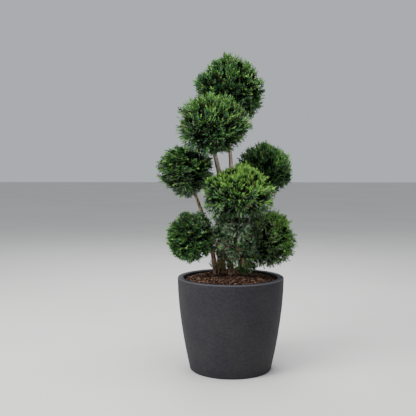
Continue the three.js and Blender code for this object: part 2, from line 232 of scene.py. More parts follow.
def edge_highlight_group():
    """A painted highlight along a round edge: 1 on the edge's circle, and 0 a little way off it."""
    group, given, result = node_group(
        "Painted Edge Highlight",
        [
            ("Radius", "NodeSocketFloat", 0.2),
            ("Height", "NodeSocketFloat", 0.4),
            ("Width", "NodeSocketFloat", 0.01),
        ],
        [("Mask", "NodeSocketFloat")],
    )
    place = group.nodes.new("ShaderNodeTexCoord")
    axes = group.nodes.new("ShaderNodeSeparateXYZ")
    feed(group, axes.inputs[0], place.outputs["Object"])
    radius = flat_length(group, axes.outputs["X"], axes.outputs["Y"])
    off_side = maths(group, "SUBTRACT", radius, given.outputs["Radius"])
    off_height = maths(group, "SUBTRACT", axes.outputs["Z"], given.outputs["Height"])
    distance = flat_length(group, off_side, off_height)
    mask = share_between(group, distance, 0, given.outputs["Width"], (1, 0), "SMOOTHSTEP")
    feed(group, result.inputs["Mask"], mask)
    return group


GRAIN = grain_group()
PAINTED_EDGE_HIGHLIGHT = edge_highlight_group()


def placed(material, group, values):
    """A node group placed in a material, with its own values."""
    node = material.node_tree.nodes.new("ShaderNodeGroup")
    node.node_tree = group
    for label, value in values.items():
        node.inputs[label].default_value = value
    return node


def shader_of(material):
    """A material's own shader."""
    return material.node_tree.nodes["Principled BSDF"]


def tone_of(material):
    """The output that colours a material."""
    return shader_of(material).inputs["Base Color"].links[0].from_socket


def material_of(
    name, light, dark, fineness, stretch=(1, 1, 1), spread=0.2, roughness=0.8, specular=0.3, depth=0
):
    """A matt material whose colour is the grain of two tones, with a bump of the given depth in mm."""
    material = bpy.data.materials.new(name)
    material.use_nodes = True
    tree, shader = material.node_tree, shader_of(material)
    shader.inputs["Roughness"].default_value = roughness
    shader.inputs["Specular IOR Level"].default_value = specular
    values = {"Light": light, "Dark": dark, "Fineness": fineness, "Stretch": stretch, "Spread": spread}
    grain = placed(material, GRAIN, values)
    feed(tree, shader.inputs["Base Color"], grain.outputs["Color"])
    if depth:
        bump = tree.nodes.new("ShaderNodeBump")
        bump.inputs["Distance"].default_value = depth * MM
        feed(tree, bump.inputs["Height"], grain.outputs["Height"])
        feed(tree, shader.inputs["Normal"], bump.outputs["Normal"])
    return material


def outer_radius(height):
    """The planter's radius outside."""
    return RIM_RADIUS - (RIM_RADIUS - FOOT_RADIUS) * (1 - height / POT_HEIGHT) ** SIDE_POWER


def inner_radius(height):
    """The planter's radius inside, which the lip narrows."""
    return MOUTH_RADIUS if height > WALL_TOP else outer_radius(height) - WALL


def quarter_round(radius, height, round_radius, first_quarter):
    """A quarter round's profile points. It starts at a heading counted in quarter turns from outward."""
    angles = (first_quarter + np.linspace(0, 1, ROUND_STEPS)) * math.pi / 2
    return [[radius + round_radius * math.cos(a), height + round_radius * math.sin(a)] for a in angles]


side_heights = np.linspace(FOOT_ROUND, POT_HEIGHT - RIM_ROUND, SIDE_STEPS)[1:-1]
inner_heights = [LIP_FOOT, WALL_TOP, *np.linspace(WALL_TOP, FLOOR, INNER_STEPS)[1:]]
planter_profile = [
    [0, 0],
    *quarter_round(outer_radius(FOOT_ROUND) - FOOT_ROUND, FOOT_ROUND, FOOT_ROUND, -1),
    *[[outer_radius(z), z] for z in side_heights],
    *quarter_round(RIM_RADIUS - RIM_ROUND, POT_HEIGHT - RIM_ROUND, RIM_ROUND, 0),
    *quarter_round(MOUTH_RADIUS + RIM_ROUND, POT_HEIGHT - RIM_ROUND, RIM_ROUND, 1),
    *[[inner_radius(z), z] for z in inner_heights],
    [0, FLOOR],
]
planter = mesh_piece("planter_shell", *turned(planter_profile, POT_SIDES), smooth=True)

charcoal = material_of(
    "charcoal fibre cement",
    light=screen(53, 51, 58),
    dark=screen(28, 27, 32),
    fineness=75,
    stretch=(1, 1, 1.7),
    spread=0.16,
    roughness=0.72,
    depth=0.8,
)
cloudy = placed(
    charcoal,
    GRAIN,
    {"Light": screen(51, 48, 46), "Dark": screen(35, 35, 42), "Fineness": 7, "Spread": 0.16},
)
# a painted highlight, lighter than the cast, along the lip's outer and inner round edges
edge_highlight_tone = screen(88, 89, 95)
charcoal_tone = colour_mix(charcoal.node_tree, CLOUDING, tone_of(charcoal), cloudy.outputs["Color"])
for edge_radius in (RIM_RADIUS, MOUTH_RADIUS):
    edge_highlight = placed(
        charcoal,
        PAINTED_EDGE_HIGHLIGHT,
        {"Radius": edge_radius * MM, "Height": POT_HEIGHT * MM, "Width": HIGHLIGHT_WIDTH * MM},
    )
    charcoal_tone = colour_mix(charcoal.node_tree, edge_highlight.outputs["Mask"], charcoal_tone, edge_highlight_tone)
feed(charcoal.node_tree, shader_of(charcoal).inputs["Base Color"], charcoal_tone)
planter.data.materials.append(charcoal)
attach(planter, "root")
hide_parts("planter")


# Soil
# Peaty potting mix that fills the planter to a little under the lip. It is mounded round the stems
# and crumbly on top, where it shows between the pieces of bark.

SOIL_EDGE = 393
SOIL_TOP = 411
SOIL_FLAT_RADIUS = 125
SOIL_CRUMBLE = 3
SOIL_CRUMB = 9
SOIL_SINK = 5  # the crumbly surface lies this much under the bark's own bed
SOIL_CLEARANCE = 0.3
SOIL_RINGS = 42
SOIL_SIDES = 96


def soil_height(radius):
    """The level of the bark's bed."""
    share = np.clip((radius - SOIL_FLAT_RADIUS) / (MOUTH_RADIUS - SOIL_FLAT_RADIUS), 0, 1)
    return SOIL_TOP + (SOIL_EDGE - SOIL_TOP) * share


soil_profile = [
    [0, FLOOR + SOIL_CLEARANCE],
    *[[inner_radius(z) - SOIL_CLEARANCE, z + SOIL_CLEARANCE] for z in inner_heights[::-1]],
    *[[r, soil_height(r) - SOIL_SINK] for r in np.linspace(MOUTH_RADIUS - SOIL_CLEARANCE, 0, SOIL_RINGS)],
]
soil_positions, soil_faces = turned(soil_profile, SOIL_SIDES)
for corner in soil_positions:
    if corner[2] > SOIL_EDGE - 2 * SOIL_SINK:
        corner[2] += SOIL_CRUMBLE * noise.noise(Vector(corner) / SOIL_CRUMB)
soil = mesh_piece("soil_bed", soil_positions, soil_faces)
peaty_soil = material_of(
    "peaty soil",
    light=screen(66, 48, 38),
    dark=screen(30, 21, 17),
    fineness=140,
    roughness=0.95,
    specular=0.1,
    depth=2,
)
soil.data.materials.append(peaty_soil)
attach(soil, "root")
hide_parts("soil")


# Stems and boughs
# Three bare stems from one root, and a tapering bough from a stem's side to each cloud that no stem
# ends in. Old wood has brown, stringy bark that splits lengthwise. Young wood is smooth and pale, with
# painted light on its side towards +X and a darker brown on the other side as painted shade.

UP = np.array([0.0, 0.0, 1.0])
ROOT_FLARE = 0.1
ROOT_FLARE_HEIGHT = 26
COLLAR = 0.3
COLLAR_LENGTH = 14
COLLAR_START = 0.35
BURIED = 20
SUNK = 9  # length of stem that the mesh keeps below the ground, out of sight
SHEAR_UNEVENNESS = 0.025
SHEAR_WAVES = (3.1, 4.3, 2.7)  # how fast it comes and goes towards x, y and z
CURVE_STEPS = 60
START_SIDE = [0.3, 1, 0.1]  # a direction that no limb starts along
BARK_STEP = 3.2
FEWEST_BARK_STEPS = 12
STEM_SIDES = 40
BOUGH_SIDES = 28
OLD_WOOD_TOP = 430
YOUNG_WOOD_FOOT = 850
YOUNG_RELIEF = 0.3  # how much of old wood's relief the youngest has
SPLIT_DEPTH = 1.9
SPLIT_WIDTH = 0.13
SPLIT_LENGTH = 52
STRAND_DEPTH = 0.95
STRAND_LENGTH = 26
LUMP_SHARE = 0.1  # lumps and the foot's flutes, as shares of the radius
LUMP_LENGTH = 30
FLUTE_SHARE = 0.1
FLUTE_HEIGHT = 45
FLUTE_TWIST = 0.01
FLUTES = 3
RELIEF_SCALE = 1.1  # how many splits there are round a stem, which grows with its radius
RELIEF_RADIUS = 14
SPLIT_FINENESS = 1.7
STRAND_FINENESS = 4
PALE_BARK_FROM = 780  # the height where the young bark's colour starts, and where it is whole
PALE_BARK_WHOLE = 880
LIT_SIDE_FROM = -0.7  # how far the surface faces +X where the painted lit side starts, and where it is whole
LIT_SIDE_WHOLE = 0.1

CLOUDS = [
    {"name": "cloud_top", "centre": (-9, 130, 1250), "radii": (161, 152, 159), "shoots": 24},
    {"name": "cloud_upper", "centre": (-72, -100, 1080), "radii": (162, 142, 132), "shoots": 23},
    {"name": "cloud_left", "centre": (-205, 20, 884), "radii": (132, 122, 116), "shoots": 18},
    {"name": "cloud_right", "centre": (168, 100, 890), "radii": (122, 116, 119), "shoots": 18},
    {"name": "cloud_front", "centre": (36, -112, 797), "radii": (164, 126, 120), "shoots": 22},
    {"name": "cloud_low_left", "centre": (-175, -50, 591), "radii": (113, 112, 120), "shoots": 18},
    {"name": "cloud_low_right", "centre": (165, 42, 578), "radii": (131, 126, 131), "shoots": 21},
]
for number, cloud in enumerate(CLOUDS):
    cloud["seed"] = number + 1
STEMS = [
    # the path runs from the foot to the tip, and the radius is given at both
    {
        "name": "stem_left",
        "path": [(-66, 50, 411), (-80, 53, 500), (-101, 56, 590), (-130, 44, 692), (-160, 32, 776)],
        "foot": 12,
        "tip": 7,
        "into": "cloud_left",
    },
    {
        "name": "stem_right",
        "path": [
            (3, 50, 411),
            (-4, 55, 495),
            (-3, 60, 610),
            (6, 64, 740),
            (2, 80, 883),
            (-6, 102, 1010),
            (-8, 116, 1088),
        ],
        "foot": 15.5,
        "tip": 7,
        "into": "cloud_top",
    },
    {
        "name": "stem_back",
        "path": [
            (-42, 104, 411),
            (-44, 98, 480),
            (-34, 84, 600),
            (-32, 72, 730),
            (-51, 58, 861),
            (-74, -20, 968),
        ],
        "foot": 21,
        "tip": 8.5,
        "into": "cloud_upper",
    },
]
BOUGHS = [
    # a bough starts in its bearer, at a share of the bearer's length
    {
        "name": "bough_low_left",
        "bearer": "stem_left",
        "at": 0.36,
        "path": [(-103, 36, 546), (-124, 8, 548)],
        "foot": 7,
        "tip": 6,
        "into": "cloud_low_left",
    },
    {
        "name": "bough_low_right",
        "bearer": "stem_right",
        "at": 0.035,
        "path": [(34, 48, 443), (62, 46, 463), (88, 44, 490)],
        "foot": 7,
        "tip": 5.5,
        "into": "cloud_low_right",
    },
    {
        "name": "bough_right",
        "bearer": "stem_right",
        "at": 0.46,
        "path": [(34, 70, 768), (80, 82, 808)],
        "foot": 8,
        "tip": 6,
        "into": "cloud_right",
    },
    {
        "name": "bough_front",
        "bearer": "stem_right",
        "at": 0.4,
        "path": [(6, 34, 712), (12, 4, 736)],
        "foot": 8,
        "tip": 6.5,
        "into": "cloud_front",
    },
]


def unit(vectors):
    """The headings of one or many vectors."""
    return vectors / np.maximum(np.linalg.norm(vectors, axis=-1, keepdims=True), 1e-9)


def reach(mass, d):
    """How far a mass reaches in each direction: a rounded form, a little uneven from the shears."""
    seed = mass["seed"]
    to_x, to_y, to_z = SHEAR_WAVES
    across = np.sin(to_x * d[..., 0] + 2 * seed) * np.sin(to_z * d[..., 2] - seed)
    along = np.sin(to_y * d[..., 1] + 3 * seed)
    return (1 + SHEAR_UNEVENNESS * (across + along)) / np.linalg.norm(d / np.array(mass["radii"]), axis=-1)


def smooth_curve(points, samples=400):
    """An even run of points along the centripetal curve through the given ones, and its length."""
    points = np.array(points, float)
    points = np.vstack([2 * points[0] - points[1], points, 2 * points[-1] - points[-2]])
    t = np.linspace(0, 1, CURVE_STEPS)[:, None]
    run = []
    for k in range(1, len(points) - 2):
        p0, p1, p2, p3 = points[k - 1 : k + 3]
        d0, d1, d2 = [math.sqrt(np.linalg.norm(b - a)) for a, b in ((p0, p1), (p1, p2), (p2, p3))]
        leave = ((p1 - p0) / d0 - (p2 - p0) / (d0 + d1) + (p2 - p1) / d1) * d1
        arrive = ((p2 - p1) / d1 - (p3 - p1) / (d1 + d2) + (p3 - p2) / d2) * d1
        square = 3 * (p2 - p1) - 2 * leave - arrive
        cube = 2 * (p1 - p2) + leave + arrive
        run.append(p1 + leave * t + square * t**2 + cube * t**3)
    run = np.vstack(run)
    lengths = np.concatenate([[0], np.cumsum(np.linalg.norm(np.diff(run, axis=0), axis=1))])
    even = np.linspace(0, lengths[-1], samples)
    return np.column_stack([np.interp(even, lengths, run[:, axis]) for axis in range(3)]), lengths[-1]


def limb(points, foot, tip, swell, swell_length, swell_from):
    """One tapering round of wood, as a run of points and the radius at each."""
    run, length = smooth_curve(points)
    t = np.linspace(0, 1, len(run))
    past = np.maximum(t * length - swell_from, 0)
    radii = (foot + (tip - foot) * t) * (1 + swell * np.exp(-past / swell_length))
    return {"run": run, "radii": radii, "length": length}


def at_share(grown, share):
    """The point and the radius at a share of a limb's length."""
    place = share * (len(grown["run"]) - 1)
    k = min(int(place), len(grown["run"]) - 2)
    point = grown["run"][k] + (place - k) * (grown["run"][k + 1] - grown["run"][k])
    return point, float(np.interp(place, [k, k + 1], grown["radii"][k : k + 2]))


def path_into(name, path):
    """A limb's path, with its last point moved on to the surface of the cloud that it enters."""
    mass = next(each for each in CLOUDS if each["name"] == name)
    points = np.array(path, float)
    d = unit(points[-1] - np.array(mass["centre"]))
    points[-1] = np.array(mass["centre"]) + d * reach(mass, d)
    return points


LIMBS = {}
for row in STEMS:
    path = path_into(row["into"], row["path"])
    start = path[0] + unit(path[0] - path[1]) * BURIED
    flare = (ROOT_FLARE, ROOT_FLARE_HEIGHT, BURIED)
    LIMBS[row["name"]] = limb(np.vstack([start, path]), row["foot"], row["tip"], *flare)
for row in BOUGHS:
    axis, bearer_radius = at_share(LIMBS[row["bearer"]], row["at"])
    outward = unit((np.array(row["path"][0]) - axis) * [1, 1, 0])
    start = axis + outward * COLLAR_START * bearer_radius
    path = path_into(row["into"], row["path"])
    collar = (COLLAR, COLLAR_LENGTH, bearer_radius)
    LIMBS[row["name"]] = limb(np.vstack([start, path]), row["foot"], row["tip"], *collar)


def square_frames(run):
    """Two directions square to a run of points at each of them, that don't twist along it."""
    tangents = unit(np.gradient(run, axis=0))
    normals = [unit(np.cross(tangents[0], START_SIDE))]
    for tangent in tangents[1:]:
        normals.append(unit(normals[-1] - tangent * np.dot(normals[-1], tangent)))
    normals = np.array(normals)
    return normals, np.cross(tangents, normals)


def bark_relief(angle, along, radius, seed, height):
    """How far the bark stands off its round: long splits and strands, deeper on old wood."""
    age = 1 - min(max((height - OLD_WOOD_TOP) / (YOUNG_WOOD_FOOT - OLD_WOOD_TOP), 0), 1)
    turn = Vector((math.cos(angle), math.sin(angle))) * (RELIEF_SCALE + radius / RELIEF_RADIUS)
    split = noise.noise(Vector((*turn, along / SPLIT_LENGTH + seed * 7)) * SPLIT_FINENESS)
    strands = noise.noise(Vector((*turn * STRAND_FINENESS, along / STRAND_LENGTH + seed * 3)))
    lumps = noise.noise(Vector((*turn, along / LUMP_LENGTH - seed * 5)))
    relief = STRAND_DEPTH * strands - SPLIT_DEPTH * math.exp(-((split / SPLIT_WIDTH) ** 2))
    flutes = math.cos(FLUTES * angle + seed + FLUTE_TWIST * along)
    flutes *= math.exp(-max(height - SOIL_TOP, 0) / FLUTE_HEIGHT)
    shape = LUMP_SHARE * radius * lumps + FLUTE_SHARE * radius * flutes
    return relief * (YOUNG_RELIEF + (1 - YOUNG_RELIEF) * age) + shape


def bark_piece(name, seed):
    """A limb's mesh with the bark's relief, closed at both ends."""
    grown = LIMBS[name]
    is_stem = name.startswith("stem")
    first = int((BURIED - SUNK) / grown["length"] * (len(grown["run"]) - 1)) if is_stem else 0
    run, radii = grown["run"][first:], grown["radii"][first:]
    length = grown["length"] * len(run) / len(grown["run"])
    steps = max(int(length / BARK_STEP), FEWEST_BARK_STEPS)
    sides = STEM_SIDES if is_stem else BOUGH_SIDES
    picks = np.linspace(0, len(run) - 1, steps + 1)
    centres = np.column_stack([np.interp(picks, np.arange(len(run)), run[:, axis]) for axis in range(3)])
    radii = np.interp(picks, np.arange(len(run)), radii)
    normals, binormals = square_frames(centres)
    positions = [centres[0], centres[-1]]
    for k in range(steps + 1):
        for j in range(sides):
            angle = 2 * math.pi * j / sides
            off = radii[k] + bark_relief(angle, k * length / steps, radii[k], seed, centres[k][2])
            heading = math.cos(angle) * normals[k] + math.sin(angle) * binormals[k]
            positions.append(centres[k] + off * heading)
    piece = mesh_piece(f"{name}_bark", positions, ring_faces(steps + 1, sides), smooth=True)
    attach(piece, "root")
    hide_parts(name)
    return piece


def axis_of(tree, arrow, axis):
    """The output that gives one axis of a vector."""
    axes = tree.nodes.new("ShaderNodeSeparateXYZ")
    feed(tree, axes.inputs[0], arrow)
    return axes.outputs[axis]


stem_bark = material_of(
    "stringy bark",
    light=screen(208, 177, 148),
    dark=screen(88, 70, 55),
    fineness=110,
    stretch=(1, 1, 0.25),
    spread=0.13,
    roughness=0.9,
    specular=0.15,
    depth=1.5,
)
# the young bark's pale grain as painted light on its side towards +X, and a darker brown as painted shade
# on the other side
young_lit_side_bark = placed(
    stem_bark,
    GRAIN,
    {
        "Light": screen(252, 230, 216),
        "Dark": screen(216, 182, 165),
        "Fineness": 60,
        "Stretch": (1, 1, 0.25),
        "Spread": 0.11,
    },
)
young_shaded_side_tone = screen(128, 98, 84)
bark_tree = stem_bark.node_tree
bark_place = bark_tree.nodes.new("ShaderNodeTexCoord")
bark_facing = axis_of(bark_tree, bark_place.outputs["Normal"], "X")
bark_height = axis_of(bark_tree, bark_place.outputs["Object"], "Z")
painted_lit_side = share_between(bark_tree, bark_facing, LIT_SIDE_FROM, LIT_SIDE_WHOLE)
young_wood = share_between(bark_tree, bark_height, PALE_BARK_FROM * MM, PALE_BARK_WHOLE * MM)
young_lit_and_shaded_tone = colour_mix(bark_tree, painted_lit_side, young_shaded_side_tone, young_lit_side_bark.outputs["Color"])
bark_tone = colour_mix(bark_tree, young_wood, tone_of(stem_bark), young_lit_and_shaded_tone)
feed(bark_tree, shader_of(stem_bark).inputs["Base Color"], bark_tone)

for number, name in enumerate(LIMBS):
    bark_piece(name, number + 1).data.materials.append(stem_bark)


# Bark mulch
# Chipped conifer bark, spread over the soil when the plant is potted. Flat broken pieces about 10 to
# 20 mm long lie every way, most of them dark or brown, some weathered, and a few of pale inner wood.

CHIP_COUNT = 1700
CHIP_OUTLINE = 6
CHIP_LENGTHS = (8, 21)
CHIP_WIDTHS = (0.28, 0.55)  # as shares of the length
CHIP_THICKNESSES = (2.5, 4.5)
CHIP_CORNER_SWING = 0.3
CHIP_CORNER_REACH = (0.75, 1.1)
CHIP_TOP = 0.92
CHIP_CROWN = 0.62
CHIP_ROUGHNESS = 0.8
CHIP_WARP = 0.006
CHIP_LEAN = 0.22
CHIP_ROLL = 0.3
CHIP_LEVELS = (-1, 5)
CHIP_SINK = 2
EDGE_ROOM = 9  # how far from the lip a chip's middle and its end stay
END_ROOM = 2
CHIP_TONES = [
    # a name, the light and the dark of its grain, and its share of the chips
    ("dark bark chip", (76, 55, 46), (44, 32, 26), 0.42),
    ("brown bark chip", (116, 86, 70), (70, 51, 41), 0.4),
    ("weathered bark chip", (150, 120, 100), (98, 75, 62), 0.15),
    ("pale inner wood chip", (172, 138, 108), (126, 97, 74), 0.03),
]
CHIP_SEED = 11
random = np.random.default_rng(CHIP_SEED)


def joined(parts):
    """Many (corners, faces) pairs as one."""
    positions, faces, count = [], [], 0
    for corners, own in parts:
        positions.append(corners)
        faces.append(own + count)
        count += len(corners)
    return np.vstack(positions), np.vstack(faces)


def turn_about(axis, angle):
    """The matrix of a turn about an axis, which is given by its number."""
    first, second = (axis + 1) % 3, (axis + 2) % 3
    turn = np.eye(3)
    turn[first, first] = turn[second, second] = math.cos(angle)
    turn[second, first] = math.sin(angle)
    turn[first, second] = -math.sin(angle)
    return turn


def on_stem(x, y, room):
    """Whether a place on the ground is under a stem's foot."""
    for stem in STEMS:
        foot_x, foot_y, _ = stem["path"][0]
        if math.hypot(x - foot_x, y - foot_y) < stem["foot"] * (1 + ROOT_FLARE) + room:
            return True
    return False


def chip(x, y, base, size):
    """Corners and faces of one flat, broken piece of bark."""
    length, width, thickness = size
    n = CHIP_OUTLINE
    swing = random.uniform(-CHIP_CORNER_SWING, CHIP_CORNER_SWING, n)
    angles = (np.arange(n) + swing) * 2 * math.pi / n
    uneven = random.uniform(*CHIP_CORNER_REACH, n)
    outline = np.column_stack([np.cos(angles) * uneven * length / 2, np.sin(angles) * uneven * width / 2])
    over = thickness / 2 + random.uniform(-CHIP_ROUGHNESS, CHIP_ROUGHNESS, n)
    under = -thickness / 2 + random.uniform(-CHIP_ROUGHNESS, CHIP_ROUGHNESS, n)
    crowns = [[0, 0, thickness * CHIP_CROWN], [0, 0, -thickness * CHIP_CROWN]]
    corners = np.vstack(
        [np.column_stack([outline * CHIP_TOP, over]), np.column_stack([outline, under]), crowns]
    )
    corners[:, 2] += CHIP_WARP * random.uniform(-1, 1) * corners[:, 0] ** 2
    spin = turn_about(2, random.uniform(0, 2 * math.pi))
    lean = turn_about(1, random.normal(0, CHIP_LEAN))
    roll = turn_about(0, random.normal(0, CHIP_ROLL))
    corners = corners @ (spin @ lean @ roll).T + [x, y, base]
    faces = []
    for k in range(n):
        after = (k + 1) % n
        faces += [[k, after, 2 * n], [n + after, n + k, 2 * n + 1]]
        faces += [[k, n + k, n + after], [k, n + after, after]]
    return corners, np.array(faces)


chips, chip_materials = [], []
chip_shares = [share for _, _, _, share in CHIP_TONES]
for number in range(CHIP_COUNT):
    radius = (MOUTH_RADIUS - EDGE_ROOM) * math.sqrt(random.uniform(0, 1))
    angle = random.uniform(0, 2 * math.pi)
    x, y = radius * math.cos(angle), radius * math.sin(angle)
    length = random.uniform(*CHIP_LENGTHS)
    size = (length, length * random.uniform(*CHIP_WIDTHS), random.uniform(*CHIP_THICKNESSES))
    if radius + length / 2 > MOUTH_RADIUS - END_ROOM or on_stem(x, y, length / 4):
        continue
    base = soil_height(radius) - CHIP_SINK + random.uniform(*CHIP_LEVELS)
    corners, faces = chip(x, y, base, size)
    chips.append((corners, faces))
    chip_materials += [int(random.choice(len(CHIP_TONES), p=chip_shares))] * len(faces)
mulch = mesh_piece("bark_mulch", *joined(chips), chip_materials)
for name, light, dark, _ in CHIP_TONES:
    chip_material = material_of(
        name,
        screen(*light),
        screen(*dark),
        fineness=160,
        spread=0.18,
        roughness=0.9,
        specular=0.15,
        depth=1,
    )
    mulch.data.materials.append(chip_material)
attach(mulch, "root")


# Twigs inside the clouds
# Wood that years of clipping have made dense. A cloud's own stem runs on from its limb to its heart,
# and branches leave it for every side, fork into twigs, and fork again under the clipped surface.

GOLDEN_ANGLE = math.pi * (3 - math.sqrt(5))
CORE_ROOM = 0.93
SHARED_GAP = 0.03
LIMB_ROOM = 3
LIMB_TEST_STEP = 16
UPRIGHT = 0.03
OFF_TWIG = [0.37, 0.21, 0.9]  # a direction that twigs hardly ever take
LIGHT_PULL = 0.16
SHOOT_LEAN = 0.3
HEART_DROP = 0.15
STEM_TAPER = 0.6
STEM_OVERLAP = 2
STEM_RUN_ON = 0.4
TIP_UNEVENNESS = 0.04
BRANCH_STARTS = (0.55, 0.98)  # where on its bearer each kind of wood starts, as shares of its length
TWIG_STARTS = (0.4, 0.9)
TUFT_STARTS = (0.35, 0.9)
BRANCH_DEPTH = 52  # how far under the clipped surface each kind of wood ends
TWIG_DEPTH = 38
TUFT_DEPTH = 18
BRANCH_HOLD = 0.5  # how far each kind of wood keeps its first heading, as a share of its length
TWIG_HOLD = 0.4
TUFT_HOLD = 0.35
BRANCH_BOW = 8
BRANCH_FOOT = 0.42  # as a share of its bearer's radius
BRANCH_TIP = 1.1
BRANCH_TWIGS = 7
TWIG_RADII = (1.5, 0.8)
TUFT_RADII = (0.9, 0.6)
TUFT_SPACING = 16
TUFT_GATHER = 0.22  # how far the tufts draw in round their own twig, which leaves dark clefts between twigs
FINE_GROWTH = 0.92
FINE_CLOUDS = ("cloud_low_left", "cloud_low_right")
LOOSE_GROWTH = [
    {"name": "inner_growth", "centre": (4, -66, 575), "radii": (104, 84, 128), "shoots": 14, "seed": 8},
    {"name": "low_tuft", "centre": (76, -8, 462), "radii": (44, 42, 36), "shoots": 4, "seed": 9},
]
LOBE_WIDTH = 0.42
FORMS = {
    # a side of the mass as x and z of its direction, and how much fuller or flatter it is there
    "cloud_top": [(-0.74, 0.68, -0.07), (-0.5, 0.87, -0.05), (0.7, 0.72, -0.05), (0.6, -0.8, 0.09)],
    "cloud_upper": [
        (-0.83, 0.55, 0.06),
        (-1.0, 0.1, 0.05),
        (0.3, -0.95, 0.05),
        (-0.6, -0.8, 0.2),
        (1.0, -0.1, 0.05),
    ],
    "cloud_left": [
        (-0.6, 0.8, -0.1),
        (-0.67, -0.75, -0.05),
        (0.72, 0.69, 0.2),
        (1.0, 0.0, 0.06),
        (0.2, -1.0, 0.11),
    ],
    "cloud_right": [
        (-0.95, 0.25, 0.16),
        (-0.3, 0.95, 0.07),
        (0.68, 0.73, -0.12),
        (0.98, 0.1, -0.03),
        (0.5, -0.87, 0.07),
    ],
    "cloud_front": [
        (0.95, 0.31, -0.13),
        (0.67, 0.74, -0.1),
        (-0.6, 0.8, -0.12),
        (-0.89, 0.46, -0.08),
        (-0.75, -0.65, 0.2),
        (0.75, -0.65, 0.08),
        (0.15, -1.0, 0.1),
    ],
    "cloud_low_left": [(-0.78, -0.62, -0.03), (0.65, 0.76, 0.05), (1.0, 0.0, 0.09), (0.7, -0.7, 0.06)],
    "cloud_low_right": [
        (0.85, 0.5, -0.05),
        (-0.6, -0.8, 0.12),
        (0.2, -1.0, 0.05),
        (-0.8, 0.6, 0.07),
        (0.9, -0.4, 0.03),
    ],
    "inner_growth": [
        (-0.7, -0.7, -0.26),
        (-0.25, -0.97, -0.4),
        (-1.0, 0.1, 0.1),
        (0.6, -0.8, 0.12),
        (0.45, 0.87, 0.14),
    ],
    "low_tuft": [(0.5, -0.5, 0.15), (-0.5, -0.5, 0.15)],
}


def chance(seed, i, turn, low=0, high=1):
    """A repeatable number from low to high for each item of a mass. Each turn of it is another number."""
    x = np.sin(seed * 127.1 + i * 311.7 + turn * 74.7) * 43758.5453
    return low + (high - low) * (x - np.floor(x))


def centre_of(mass):
    """The middle of a mass."""
    return np.array(mass["centre"], float)


def heart_of(mass):
    """Where a mass's own stem ends, a little under its middle."""
    return centre_of(mass) - UP * HEART_DROP * mass["radii"][2]


def facing_of(mass, points):
    """The directions of points from a mass's middle."""
    return unit(points - centre_of(mass))


def on_surface(mass, d, fullness=1):
    """Points in each direction from a mass's middle, at a share of its reach."""
    return centre_of(mass) + d * (fullness * reach(mass, d))[:, None]


def depth_in(mass, points):
    """How far out points lie in a mass: 1 on its clipped surface."""
    offsets = points - centre_of(mass)
    return np.linalg.norm(offsets, axis=-1) / reach(mass, unit(offsets))


def form(mass, d):
    """A mass's own fullness in each direction: its lobes and its flatter sides, as seen from the front."""
    fullness = np.ones(len(d))
    for x, z, amount in FORMS[mass["name"]]:
        apart = (d[:, 0] - x) ** 2 + (d[:, 2] - z) ** 2
        fullness += amount * np.exp(-apart / LOBE_WIDTH**2)
    return fullness


def share_of(mass, points):
    """How far out points lie in a mass with its own fullness: 1 on its true outline."""
    return depth_in(mass, points) / form(mass, facing_of(mass, points))


def fineness(mass):
    """How fine a cloud's sprays and their spacing are. The low clouds are clipped most often."""
    return FINE_GROWTH if mass["name"] in FINE_CLOUDS else 1


def surface_of(mass):
    """Roughly the area of a mass's clipped surface."""
    return 4 * math.pi * math.prod(mass["radii"]) ** (2 / 3)


def under_surface(mass, tips, depth):
    """Points that lie straight inward of the tips, by a depth."""
    return tips - facing_of(mass, tips) * depth


def spread(count, seed):
    """Directions spread evenly over a ball by the golden angle."""
    i = np.arange(count)
    z = 1 - 2 * (i + 0.5) / count
    turn = GOLDEN_ANGLE * i + seed
    flat = np.sqrt(1 - z * z)
    return np.column_stack([flat * np.cos(turn), flat * np.sin(turn), z])


def swung(first, second, angle):
    """Directions that are swung by an angle from the first ones towards the second."""
    return first * np.cos(angle) + second * np.sin(angle)


def side_directions(seed, i, heading, turn=4):
    """Directions square to the headings, turned about them by chance."""
    roll = (2 * math.pi * chance(seed, i, turn))[:, None]
    level = np.cross(heading, UP)
    level[np.linalg.norm(level, axis=1) < UPRIGHT] = [1, 0, 0]
    level = unit(level)
    return swung(level, np.cross(heading, level), roll)


def shoot_runs(mass, count, level):
    """Headings, sides and tips of evenly spread shoots. Each leans aside and turns up to the light."""
    i = np.arange(count)
    seed = mass["seed"] + 10 * level
    heading = spread(count, mass["seed"] + level)
    side = side_directions(seed, i, heading)
    rise = (LIGHT_PULL * chance(seed, i, 1))[:, None]
    leant = unit(heading + side * SHOOT_LEAN + UP * rise)
    fullness = 1 - TIP_UNEVENNESS * chance(seed, i, 2)
    return heading, side, leant, on_surface(mass, leant, fullness)


def bezier(a, b, c, t):
    """Points and headings on quadratic curves, each at its own share t."""
    t = np.asarray(t)[:, None]
    points = a * (1 - t) ** 2 + 2 * b * t * (1 - t) + c * t**2
    return points, unit(2 * (b - a) * (1 - t) + 2 * (c - b) * t)


def onward(start, heading, end, share):
    """The middle points of curves that leave their starts along given headings."""
    return start + share * heading * np.linalg.norm(end - start, axis=1)[:, None]


